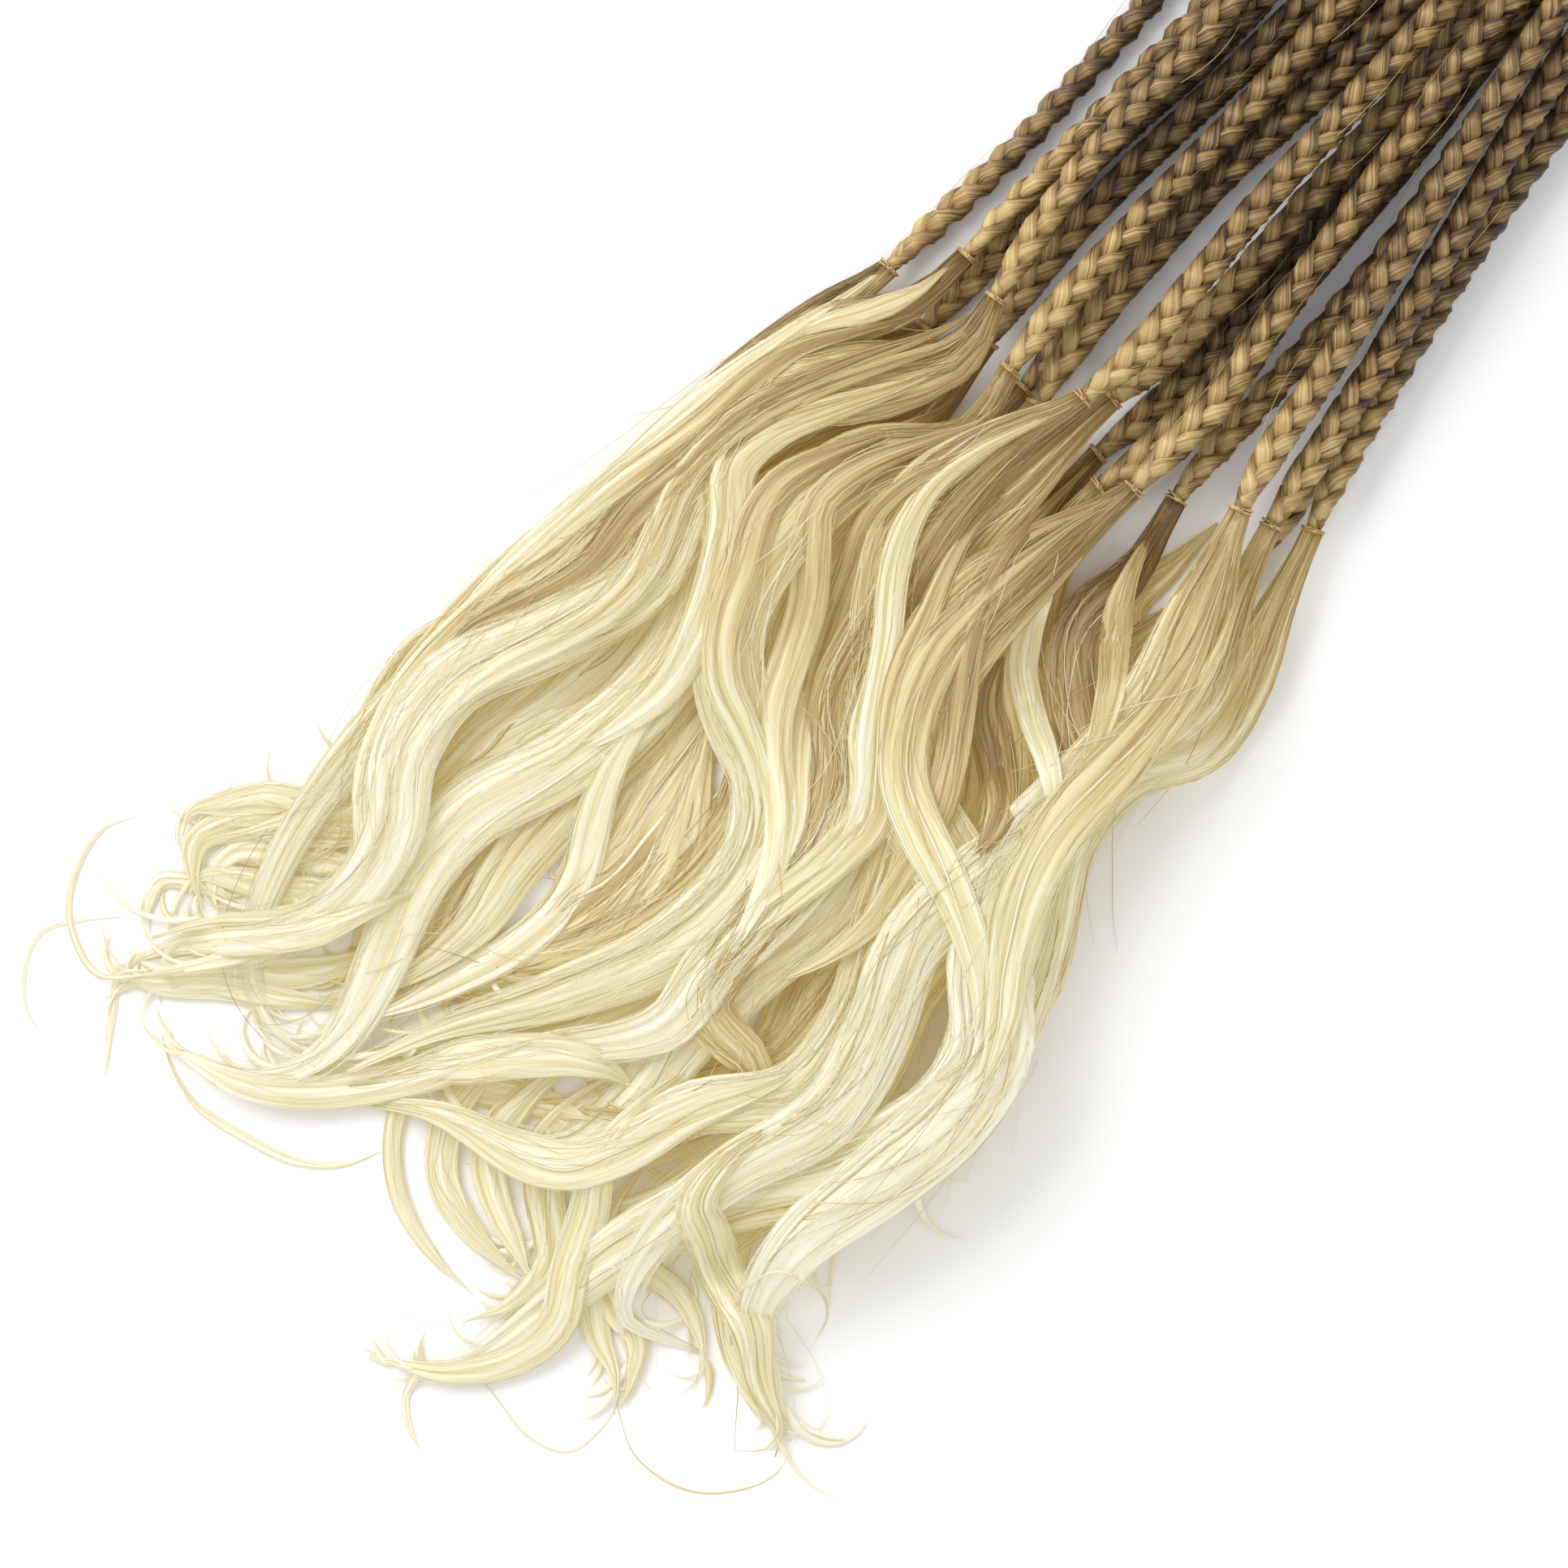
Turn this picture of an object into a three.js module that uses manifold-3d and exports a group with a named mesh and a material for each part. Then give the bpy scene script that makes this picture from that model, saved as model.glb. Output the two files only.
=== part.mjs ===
// A bundle of three-strand crochet box braids with thread ties and loose wavy ends, lying on a table.
// Millimetres, +Z up, z = 0 is the table, +X runs along the bundle towards the braids' looped heads.
// The origin is the middle of the bundle's underside.
import * as THREE from 'three';
import { mergeVertices } from 'three/addons/utils/BufferGeometryUtils.js';
import Module from 'manifold-3d';

const wasm = await Module();
wasm.setup();

// Plan of the bundle: routes are read off the photograph in pixels and laid on the table at this scale
const tableScale = 0.13; // millimetres on the table for each pixel of the photograph
const bundleAngle = 50; // degrees from the photograph's right-hand side up to the bundle's axis
const photoMiddle = [966, 966]; // the photograph's middle pixel

// Past the photograph the braids lie flat, side by side in lanes, or on top between two lanes
const lanesFrom = [1730, 0]; // pixel in the middle of the bundle where the braids leave the photograph
const laneStart = 58; // from that pixel to where the braids are in their lanes
const laneClearance = 0.3;
const middleLane = 5;

// Braid
const braidLength = 268; // from the tie to the end of the loop
const braidWidth = 6.2;
const braidThickness = 4.2;
const lobePitch = 5.8; // from one lobe to the next on the same side
const lobeDepth = 0.9; // how far the braid's side steps in between lobes
const lobedLength = 96; // the stretch next to the tie that has its lobes, as far as the photograph shows it
const lobedStep = 24; // between the sections of the lobed stretch
const plainStep = 38; // between sections where the braid is plain
const twistFrom = 1 / 3; // share of a braid's length, from its head, where its twist begins

// Loop that a crochet hook takes at the head of each braid, lying closed
const loopLength = 17;
const loopWidth = 5.8;
const loopThickness = 3.4;
const loopNeckWidth = 4;
const loopTipShare = 0.6; // share of the loop's neck width and thickness at its rounded end
const shoulderPlace = 0.16; // share of the loop's length where the rounding ends
const shoulderShare = 0.9; // share of the loop's width there
const widestPlace = 0.55; // share of the loop's length where it is widest

// Neck of hair inside the tie, and the tie: two turns of thread wound side by side
const neckWidth = 3.9;
const neckThickness = 3.2;
const threadThickness = 0.55;
const tieHeight = 1.2; // along the braid, both turns
const settling = 8; // length on each side of the tie that stays level with it

// Loose lock
const lockWidth = 10.5;
const lockThickness = 2.5;
const tipShare = 0.4; // share of the width that is left at a lock's tip
const tipThickShare = 0.55;
const spreadLength = 34; // from the tie to where a lock has its full width
const taperFrom = 0.55; // share of a lock's length where it starts to thin out
const longestStep = 20; // between a lock's sections
const largestTurn = 40; // degrees between a lock's sections
const shortestEnd = 1 / 3; // share of longestStep that is left before a lock's tip

// Fits
const clearance = 0.3; // between pieces that touch
const slantAllowance = 1.2; // a slanted side needs this much more to keep the same clearance
const jointGap = 0.3; // between a braid's end and its loose hair, inside the tie
const flatShare = 0.5; // share of a hair section's width that is flat
const mapCell = 0.5; // cell of the height map that pieces are laid on
const mapStride = 0.8; // of a cell, between the places of a strip that are tried
const samplesPerSpan = 14; // along a route, between two of its points

const braidColour = 0xa8834f;
const looseColour = 0xe3d2a0;
const threadColour = 0xb59a68;

// One row for each braid, the lowest in the pile first.
// lane: its place in the row past the photograph, counted in lanes; face: share of braidWidth;
// twist: degrees that the flat braid is turned about its length; braid: pixels from the tie up to
// the photograph's edge; locks: the loose hair from the same tie, where wide and thick are shares of
// lockWidth and lockThickness and route is in pixels from beyond the tie to the tip.
const braids = [
  {
    name: '04', lane: 2, face: 0.95, twist: 0,
    braid: [[1140, 405], [1185, 355], [1280, 255], [1390, 155], [1490, 65], [1550, 0]],
    locks: [
      {
        wide: 0.85,
        thick: 0.9,
        route: [
          [1030, 440], [930, 500], [840, 590], [760, 680], [650, 760], [530, 810], [465, 900],
          [440, 1000], [370, 1060], [270, 1060],
        ],
      },
    ],
  },
  {
    name: '07', lane: 4, face: 1, twist: 0,
    braid: [[1262, 480], [1310, 425], [1420, 295], [1540, 172], [1640, 62], [1695, 0]],
    locks: [
      {
        wide: 1,
        thick: 1,
        route: [
          [1180, 570], [1060, 650], [980, 750], [950, 870], [925, 990], [860, 1090], [750, 1160],
          [640, 1190], [520, 1150], [430, 1170],
        ],
      },
    ],
  },
  {
    name: '11', lane: 6, face: 1, twist: 0,
    braid: [
      [1352, 560], [1395, 530], [1490, 440], [1590, 318], [1700, 195], [1800, 75], [1860, 0],
    ],
    locks: [
      {
        wide: 1.05,
        thick: 1,
        route: [
          [1280, 650], [1210, 740], [1190, 850], [1200, 960], [1165, 1060], [1105, 1150], [1060, 1250],
          [990, 1330], [880, 1370], [770, 1420], [660, 1430], [560, 1375],
        ],
      },
    ],
  },
  {
    name: '12', lane: 7, face: 0.95, twist: 0,
    braid: [
      [1352, 602], [1402, 575], [1500, 470], [1605, 345], [1715, 215], [1820, 80], [1880, 0],
    ],
    locks: [
      {
        wide: 0.9,
        thick: 0.9,
        route: [
          [1295, 710], [1268, 800], [1290, 910], [1285, 1010], [1210, 1110], [1120, 1220],
          [1060, 1340], [960, 1430], [850, 1480], [770, 1560], [735, 1650],
        ],
      },
      {
        wide: 0.9,
        thick: 0.9,
        route: [
          [1260, 720], [1220, 830], [1235, 930], [1215, 1030], [1140, 1130], [1080, 1240],
          [1010, 1360], [890, 1420], [790, 1480], [690, 1490],
        ],
      },
    ],
  },
  {
    name: '17', lane: 9, face: 0.9, twist: 0,
    braid: [[1545, 690], [1592, 620], [1652, 530], [1752, 378], [1850, 222], [1930, 100]],
    locks: [
      {
        wide: 1.05,
        thick: 1,
        route: [
          [1470, 755], [1400, 815], [1362, 900], [1310, 990], [1290, 1100], [1268, 1200], [1200, 1300],
          [1110, 1390], [990, 1450],
        ],
      },
    ],
  },
  {
    name: '14', lane: 8, face: 0.85, twist: 35,
    braid: [[1447, 617], [1478, 573], [1575, 470], [1682, 350], [1790, 200], [1900, 40]],
    locks: [
      {
        wide: 0.95,
        thick: 1,
        route: [
          [1400, 700], [1332, 770], [1325, 870], [1345, 960], [1290, 1060], [1250, 1160], [1230, 1260],
          [1190, 1360], [1100, 1440], [970, 1480], [880, 1560], [905, 1660],
        ],
      },
    ],
  },
  {
    name: '01', lane: 0, face: 0.9, twist: 55,
    braid: [[1095, 332], [1140, 285], [1202, 234], [1312, 122], [1405, 15]],
    locks: [
      {
        wide: 0.68,
        thick: 0.9,
        route: [
          [1005, 408], [903, 492], [790, 597], [660, 712], [520, 838], [420, 947], [340, 1075],
          [308, 1190], [335, 1265], [395, 1308],
        ],
      },
      {
        wide: 0.6,
        thick: 0.8,
        route: [
          [1015, 378], [912, 462], [785, 585], [642, 697], [528, 815], [458, 912], [405, 985],
          [320, 1020], [235, 1040],
        ],
      },
    ],
  },
  {
    name: '02', lane: 1, face: 0.95, twist: 60,
    braid: [[1190, 318], [1240, 262], [1300, 200], [1400, 105], [1490, 5]],
    locks: [
      {
        wide: 0.85,
        thick: 0.9,
        route: [
          [1120, 378], [1010, 412], [912, 498], [795, 606], [692, 698], [600, 767], [520, 852],
          [470, 950], [455, 1060], [370, 1125], [260, 1135], [190, 1155],
        ],
      },
    ],
  },
  {
    name: '05', lane: 3, face: 1, twist: 0,
    braid: [[1215, 425], [1240, 385], [1345, 260], [1455, 155], [1565, 50], [1615, 0]],
    locks: [
      {
        wide: 1.05,
        thick: 1,
        route: [
          [1130, 520], [1010, 560], [920, 640], [880, 765], [805, 880], [710, 975], [630, 1070],
          [580, 1145], [495, 1205], [395, 1230],
        ],
      },
    ],
  },
  {
    name: '08', lane: 5, face: 1, twist: 8,
    braid: [[1277, 500], [1305, 450], [1405, 330], [1505, 220], [1620, 120], [1735, 0]],
    locks: [
      {
        wide: 1,
        thick: 1,
        route: [
          [1200, 580], [1060, 640], [985, 740], [950, 860], [965, 980], [955, 1080], [880, 1180],
          [770, 1250], [640, 1285], [490, 1310], [340, 1335], [215, 1295],
        ],
      },
    ],
  },
  {
    name: '10', lane: 6.5, face: 0.95, twist: 20,
    braid: [[1368, 495], [1415, 465], [1505, 370], [1610, 250], [1720, 130], [1825, 0]],
    locks: [
      {
        wide: 1.05,
        thick: 1,
        route: [
          [1270, 590], [1180, 680], [1130, 790], [1092, 900], [1085, 1010], [1030, 1110], [930, 1190],
          [850, 1270], [790, 1350], [700, 1415], [600, 1395], [500, 1350],
        ],
      },
    ],
  },
  {
    name: '03', lane: 1.5, face: 0.95, twist: 25,
    braid: [[1225, 372], [1262, 310], [1350, 190], [1460, 75], [1520, 0]],
    locks: [
      {
        wide: 1.1,
        thick: 1.1,
        route: [
          [1190, 445], [1080, 480], [950, 490], [890, 570], [880, 690], [820, 830], [700, 935],
          [575, 1005], [510, 1090], [465, 1200], [420, 1280], [360, 1320], [290, 1325], [220, 1295],
        ],
      },
      {
        wide: 1.05,
        thick: 1,
        route: [
          [1170, 440], [1040, 465], [930, 510], [850, 600], [800, 710], [680, 785], [560, 840],
          [500, 930], [485, 1030], [420, 1120], [300, 1175], [165, 1205],
        ],
      },
    ],
  },
  {
    name: '06', lane: 3.5, face: 1, twist: 0,
    braid: [[1242, 460], [1275, 415], [1375, 305], [1485, 190], [1595, 75], [1655, 0]],
    locks: [
      {
        wide: 1.1,
        thick: 1,
        route: [
          [1190, 540], [1060, 575], [960, 660], [898, 770], [905, 870], [945, 960], [925, 1070],
          [830, 1165], [690, 1225], [540, 1270], [430, 1320],
        ],
      },
    ],
  },
  {
    name: '09', lane: 5.5, face: 1, twist: -8,
    braid: [[1330, 495], [1375, 465], [1420, 415], [1520, 290], [1665, 130], [1775, 10]],
    locks: [
      {
        wide: 1,
        thick: 1,
        route: [
          [1225, 545], [1130, 620], [1090, 740], [1080, 870], [1060, 980], [980, 1090], [880, 1190],
          [820, 1265], [700, 1290], [560, 1290],
        ],
      },
      {
        wide: 0.9,
        thick: 0.9,
        route: [
          [1240, 560], [1150, 650], [1085, 760], [1035, 860], [1035, 960], [1000, 1060], [920, 1150],
          [870, 1240], [930, 1320], [840, 1370], [720, 1365],
        ],
      },
    ],
  },
  {
    name: '18', lane: 10, face: 0.9, twist: 40,
    braid: [[1615, 655], [1632, 600], [1668, 545], [1750, 402], [1838, 270], [1930, 138]],
    locks: [
      {
        wide: 0.95,
        thick: 1.1,
        route: [
          [1572, 748], [1528, 845], [1478, 915], [1385, 948], [1312, 1030], [1286, 1135], [1256, 1240],
          [1224, 1325], [1165, 1380], [1105, 1440],
        ],
      },
    ],
  },
  {
    name: '16', lane: 9.5, face: 0.95, twist: 0,
    braid: [[1562, 650], [1595, 600], [1680, 470], [1770, 320], [1860, 170], [1932, 60]],
    locks: [
      {
        wide: 1.05,
        thick: 1,
        route: [
          [1520, 740], [1470, 845], [1385, 915], [1300, 1030], [1272, 1145], [1238, 1250],
          [1195, 1345], [1120, 1425], [1045, 1485], [965, 1545], [935, 1629],
        ],
      },
    ],
  },
  {
    name: '13', lane: 7.5, face: 1, twist: 5,
    braid: [[1393, 606], [1435, 562], [1485, 518], [1565, 400], [1700, 215], [1850, 10]],
    locks: [
      {
        wide: 1.2,
        thick: 1.1,
        route: [
          [1290, 670], [1180, 765], [1112, 880], [1120, 980], [1185, 1095], [1222, 1220], [1180, 1350],
          [1060, 1430], [900, 1470], [770, 1535], [660, 1620], [560, 1685], [455, 1672],
        ],
      },
      {
        wide: 0.95,
        thick: 1,
        route: [
          [1300, 690], [1195, 790], [1135, 900], [1128, 1010], [1090, 1130], [1050, 1260], [980, 1345],
          [850, 1365], [740, 1425], [640, 1425], [520, 1360],
        ],
      },
    ],
  },
  {
    name: '15', lane: 8.5, face: 0.95, twist: 0,
    braid: [[1522, 632], [1545, 585], [1625, 465], [1715, 325], [1805, 180], [1915, 10]],
    locks: [
      {
        wide: 1.25,
        thick: 1.1,
        route: [
          [1470, 740], [1420, 850], [1325, 955], [1240, 1060], [1215, 1180], [1218, 1290],
          [1170, 1370], [1080, 1450], [980, 1530], [930, 1620], [955, 1710], [960, 1785],
        ],
      },
      {
        wide: 1,
        thick: 1,
        route: [
          [1490, 750], [1440, 870], [1340, 980], [1200, 1075], [1120, 1160], [1080, 1270],
          [1020, 1370], [900, 1440], [800, 1530], [770, 1620], [860, 1665],
        ],
      },
    ],
  },
];

const radians = THREE.MathUtils.degToRad;
const { lerp, smoothstep, clamp } = THREE.MathUtils;

// A pixel of the photograph as a point on the table
function onTable([u, v]) {
  const right = (u - photoMiddle[0]) * tableScale;
  const up = (photoMiddle[1] - v) * tableScale;
  const turn = radians(bundleAngle);
  return new THREE.Vector2(
    right * Math.cos(turn) + up * Math.sin(turn),
    up * Math.cos(turn) - right * Math.sin(turn),
  );
}

// Two points of a lane, where it starts and past the longest braid's head
function laneEnds(lane) {
  const pitch = Math.max(braidWidth, loopWidth) + laneClearance;
  const from = onTable(lanesFrom).add(new THREE.Vector2(laneStart, (middleLane - lane) * pitch));
  return [from, from.clone().add(new THREE.Vector2(braidLength, 0))];
}

// A curve through points as closely spaced samples, each with its length along the curve,
// from one of the points to a later one
function samplesThrough(points, first, last) {
  const curve = new THREE.CatmullRomCurve3(
    points.map((p) => new THREE.Vector3(p.x, p.y, 0)), false, 'centripetal',
  );
  const spans = points.length - 1;
  const samples = [];
  for (let i = first * samplesPerSpan; i <= last * samplesPerSpan; i++) {
    const p = curve.getPoint(i / (spans * samplesPerSpan));
    const here = new THREE.Vector2(p.x, p.y);
    const before = samples.at(-1);
    samples.push({ at: here, s: before ? before.s + here.distanceTo(before.at) : 0 });
  }
  return samples;
}

// The point and the unit tangent at a length along the samples
function along(samples, s) {
  let i = 1;
  while (i < samples.length - 1 && samples[i].s < s) i++;
  const [a, b] = [samples[i - 1], samples[i]];
  return {
    s,
    at: a.at.clone().lerp(b.at, (s - a.s) / (b.s - a.s)),
    tangent: b.at.clone().sub(a.at).normalize(),
  };
}

// The samples up to a length, turned round so that they start there
function lastStretch(samples, length) {
  const kept = samples.filter((p) => p.s < length);
  kept.push({ at: along(samples, length).at, s: length });
  return kept.map((p) => ({ at: p.at, s: length - p.s })).reverse();
}

// Height map of what already lies on the table
const tops = new Map();
const cellOf = (x, y) => Math.round(x / mapCell) * 65536 + Math.round(y / mapCell);

// Share of a section's half thickness at a place across it, eased by a cell so that no corner is missed
function crown(offset, halfWidth) {
  const eased = Math.max(0, Math.abs(offset) - mapCell);
  return clamp((halfWidth - eased) / (halfWidth * (1 - flatShare)), 0, 1);
}

// Half extents of a section across the route and upwards, with its turn about the route
function extents({ halfWidth, halfThick, twist }) {
  const [c, s] = [Math.cos(twist), Math.abs(Math.sin(twist))];
  return {
    across: halfWidth * c + halfThick * s,
    up: Math.max(halfThick * c + halfWidth * flatShare * s, halfWidth * s),
  };
}

// Calls visit(x, y, share, offset, halfAcross, halfUp) all over the strip between two sections
function overStrip(a, b, visit) {
  const stride = mapCell * mapStride;
  const steps = Math.max(1, Math.ceil(a.at.distanceTo(b.at) / stride));
  const [ea, eb] = [extents(a), extents(b)];
  for (let i = 0; i <= steps; i++) {
    const t = i / steps;
    const across = lerp(ea.across, eb.across, t);
    const up = lerp(ea.up, eb.up, t);
    const forward = a.tangent.clone().lerp(b.tangent, t).normalize();
    const middle = a.at.clone().lerp(b.at, t);
    const rows = Math.ceil((across + mapCell) / stride);
    for (let j = -rows; j <= rows; j++) {
      const offset = (j / rows) * (across + mapCell);
      visit(middle.x - forward.y * offset, middle.y + forward.x * offset, t, offset, across, up);
    }
  }
}

// The lowest height at which the strip between two sections clears what lies below it
function restHeight(a, b) {
  let height = 0;
  overStrip(a, b, (x, y, t, offset, across, up) => {
    const top = tops.get(cellOf(x, y)) ?? 0;
    const lift = top > 0 ? top + clearance + up * crown(offset, across) : up;
    height = Math.max(height, lift);
  });
  return height;
}

// Adds the strip's upper side to the height map
function lay(a, b) {
  overStrip(a, b, (x, y, t, offset, across, up) => {
    const key = cellOf(x, y);
    const top = lerp(a.z, b.z, t) + up * crown(offset, across);
    tops.set(key, Math.max(tops.get(key) ?? 0, top));
  });
}

// Sets the height of each section so that both strips beside it clear what lies below
function settle(sections, tieZ) {
  const rests = sections.slice(1).map((section, i) => restHeight(sections[i], section));
  sections.forEach((section, i) => {
    section.z = section.atTie ? tieZ : Math.max(rests[i - 1] ?? 0, rests[i] ?? 0);
  });
}

const section = (place, width, thickness, twist = 0) => ({
  ...place, halfWidth: width / 2, halfThick: thickness / 2, twist, atTie: false,
});

// Sections of the neck, level with the tie, at some places along the hair inside it
function neckSections(samples, places, tangent) {
  return places.map((s) => ({
    ...section({ s, at: along(samples, s).at, tangent }, neckWidth, neckThickness), atTie: true,
  }));
}

const neckEnds = [tieHeight / 2 + 2 * clearance, jointGap / 2]; // distances from the tie's middle

// Where the lobes of a braid start and end along it
function lobedStretch(full) {
  const to = full - settling / 2;
  return { from: Math.max(to - lobedLength, loopLength + braidWidth), to };
}

// A braid's sections, from its loop to the neck inside the tie
function braidSections(row, samples, tieTangent) {
  const full = samples.at(-1).s;
  const lobed = lobedStretch(full);
  const sections = [
    section(along(samples, 0), loopNeckWidth * loopTipShare, loopThickness * loopTipShare),
    section(along(samples, loopLength * shoulderPlace), loopWidth * shoulderShare, loopThickness),
    section(along(samples, loopLength * widestPlace), loopWidth, loopThickness),
    section(along(samples, loopLength), loopNeckWidth, loopThickness),
  ];
  const stretches = [
    { from: loopLength + braidWidth / 2, to: lobed.from, step: plainStep },
    { from: lobed.from, to: lobed.to, step: lobedStep },
  ];
  for (const { from, to, step } of stretches) {
    const count = Math.max(1, Math.ceil((to - from) / step));
    for (let i = 0; i < count; i++) {
      const s = lerp(from, to, i / count);
      const twist = radians(row.twist) * smoothstep(s, full * twistFrom, lobed.from);
      sections.push(section(along(samples, s), braidWidth * row.face, braidThickness, twist));
    }
  }
  const twist = radians(row.twist);
  sections.push(section(along(samples, lobed.to), braidWidth * row.face, braidThickness, twist));
  return [...sections, ...neckSections(samples, neckEnds.map((back) => full - back), tieTangent)];
}

// Width of a lock as a share of its full width, at a length along it
function spread(s, full, wide) {
  const opened = smoothstep(s, 0, Math.min(spreadLength, full / 2));
  const thinned = smoothstep(s / full, taperFrom, 1);
  return lerp(neckWidth / (lockWidth * wide), 1, opened) * lerp(1, tipShare, thinned);
}

// Lengths along a lock at which it gets a section, closer together where it bends
function lockStops(samples, from) {
  const full = samples.at(-1).s;
  const stops = [];
  let due = 1;
  let last = along(samples, from);
  for (const { s } of samples.filter((p) => p.s >= from)) {
    const place = along(samples, s);
    const turned = THREE.MathUtils.radToDeg(Math.acos(clamp(last.tangent.dot(place.tangent), -1, 1)));
    due += place.at.distanceTo(last.at) / longestStep + turned / largestTurn;
    if (due >= 1) {
      stops.push(s);
      due -= 1;
    }
    last = place;
  }
  if (full - stops.at(-1) < longestStep * shortestEnd) stops.pop();
  return [...stops, full];
}

// A lock's sections, from the neck inside the tie to its tip
function lockSections(lock, samples, tieTangent) {
  const full = samples.at(-1).s;
  const free = lockStops(samples, settling).map((s) => {
    const width = lockWidth * lock.wide * spread(s, full, lock.wide);
    const thinned = lerp(1, tipThickShare, smoothstep(s / full, taperFrom, 1));
    return section(along(samples, s), width, lockThickness * lock.thick * thinned);
  });
  return [...neckSections(samples, [...neckEnds].reverse(), tieTangent), ...free];
}

// The flattened six-sided outline of a section, starting at its right-hand edge
function outline(halfWidth, halfThick) {
  const flat = halfWidth * flatShare;
  return [
    [halfWidth, 0], [flat, halfThick], [-flat, halfThick],
    [-halfWidth, 0], [-flat, -halfThick], [flat, -halfThick],
  ];
}

// The corners of a section in space
function corners({ at, tangent, z, halfWidth, halfThick, twist }) {
  const side = new THREE.Vector3(-tangent.y, tangent.x, 0);
  const [c, s] = [Math.cos(twist), Math.sin(twist)];
  return outline(halfWidth, halfThick).map(([across, up]) =>
    new THREE.Vector3(at.x, at.y, z)
      .addScaledVector(side, across * c - up * s)
      .add(new THREE.Vector3(0, 0, across * s + up * c)));
}

// Lines through the like corners of all sections
function cornerLines(sections) {
  const rings = sections.map(corners);
  return rings[0].map((_, k) => rings.map((ring, i) => ({ s: sections[i].s, p: ring[k] })));
}

// Lines of a braid: its two edges step in and out by turns, one lobe on the left for each on the right
function braidLines(sections, samples) {
  const { from, to } = lobedStretch(samples.at(-1).s);
  const halves = Math.round((to - from) / (lobePitch / 2));
  const lines = cornerLines(sections);
  [0, 3].forEach((edge, side) => {
    const lobes = [];
    for (let i = 0; i <= halves; i++) {
      const s = lerp(from, to, i / halves);
      const next = sections.findIndex((section) => section.s > s);
      const [a, b] = [sections[next - 1], sections[next]];
      const z = lerp(a.z, b.z, (s - a.s) / (b.s - a.s));
      const halfWidth = a.halfWidth - ((i + side) % 2 ? lobeDepth : 0);
      lobes.push({ s, p: corners({ ...a, ...along(samples, s), z, halfWidth })[edge] });
    }
    lines[edge] = [
      ...lines[edge].filter(({ s }) => s < from), ...lobes, ...lines[edge].filter(({ s }) => s > to),
    ];
  });
  return lines;
}

// A closed body through lines that run along it, each joined to the next one round
function skin(lines) {
  const positions = lines.flat().flatMap(({ p }) => [p.x, p.y, p.z]);
  const firsts = lines.map((_, k) => lines.slice(0, k).flat().length);
  const faces = [];
  lines.forEach((line, k) => {
    const nextLine = lines[(k + 1) % lines.length];
    const [here, there] = [firsts[k], firsts[(k + 1) % lines.length]];
    let [i, j] = [0, 0];
    while (i + 1 < line.length || j + 1 < nextLine.length) {
      const behind = i + 1 === line.length
        || (j + 1 < nextLine.length && nextLine[j + 1].s <= line[i + 1].s);
      if (behind) faces.push(here + i, there + j, there + ++j);
      else faces.push(here + i, there + j, here + ++i);
    }
  });
  const lasts = lines.map((line, k) => firsts[k] + line.length - 1);
  for (let k = 1; k + 1 < lines.length; k++) {
    faces.push(firsts[0], firsts[k + 1], firsts[k]);
    faces.push(lasts[0], lasts[k], lasts[k + 1]);
  }
  const geometry = new THREE.BufferGeometry();
  geometry.setAttribute('position', new THREE.Float32BufferAttribute(positions, 3));
  geometry.setIndex(faces);
  return geometry;
}

// One body out of several that overlap
function joined(geometries) {
  const solids = geometries.map((geometry) => {
    const merged = mergeVertices(geometry, 1e-4);
    return new wasm.Manifold(new wasm.Mesh({
      numProp: 3,
      vertProperties: new Float32Array(merged.attributes.position.array),
      triVerts: new Uint32Array(merged.index.array),
    }));
  });
  const mesh = solids.reduce((whole, solid) => whole.add(solid)).getMesh();
  const geometry = new THREE.BufferGeometry();
  geometry.setAttribute('position', new THREE.BufferAttribute(mesh.vertProperties, 3));
  geometry.setIndex(new THREE.BufferAttribute(mesh.triVerts, 1));
  return geometry;
}

// Half sizes of the tie across the braid and upwards, inside and outside
const tieInside = [neckWidth / 2, neckThickness / 2].map((half) => half + clearance * slantAllowance);
const tieOutside = tieInside.map((half) => half + threadThickness * slantAllowance);

// A ring of thread round the neck, extruded along the braid
function tieRing(at, tangent, z) {
  const path = (half) => outline(...half).map(([x, y]) => new THREE.Vector2(x, y));
  const shape = new THREE.Shape(path(tieOutside));
  shape.holes.push(new THREE.Path(path(tieInside)));
  const geometry = new THREE.ExtrudeGeometry(shape, { depth: tieHeight, bevelEnabled: false });
  geometry.translate(0, 0, -tieHeight / 2);
  const side = new THREE.Vector3(-tangent.y, tangent.x, 0);
  const upward = new THREE.Vector3(0, 0, 1);
  const turn = new THREE.Matrix4().makeBasis(side, upward, new THREE.Vector3().crossVectors(side, upward));
  return geometry.applyMatrix4(turn.setPosition(at.x, at.y, z));
}

const finish = (color, roughness) => new THREE.MeshStandardMaterial({ color, roughness, metalness: 0 });
const materials = {
  braid: finish(braidColour, 0.5),
  tail: finish(looseColour, 0.45),
  tie: finish(threadColour, 0.6),
};

function piece(kind, name, geometry) {
  geometry.computeVertexNormals();
  const mesh = new THREE.Mesh(geometry, materials[kind]);
  mesh.name = `${kind}_${name}`;
  return mesh;
}

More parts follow.
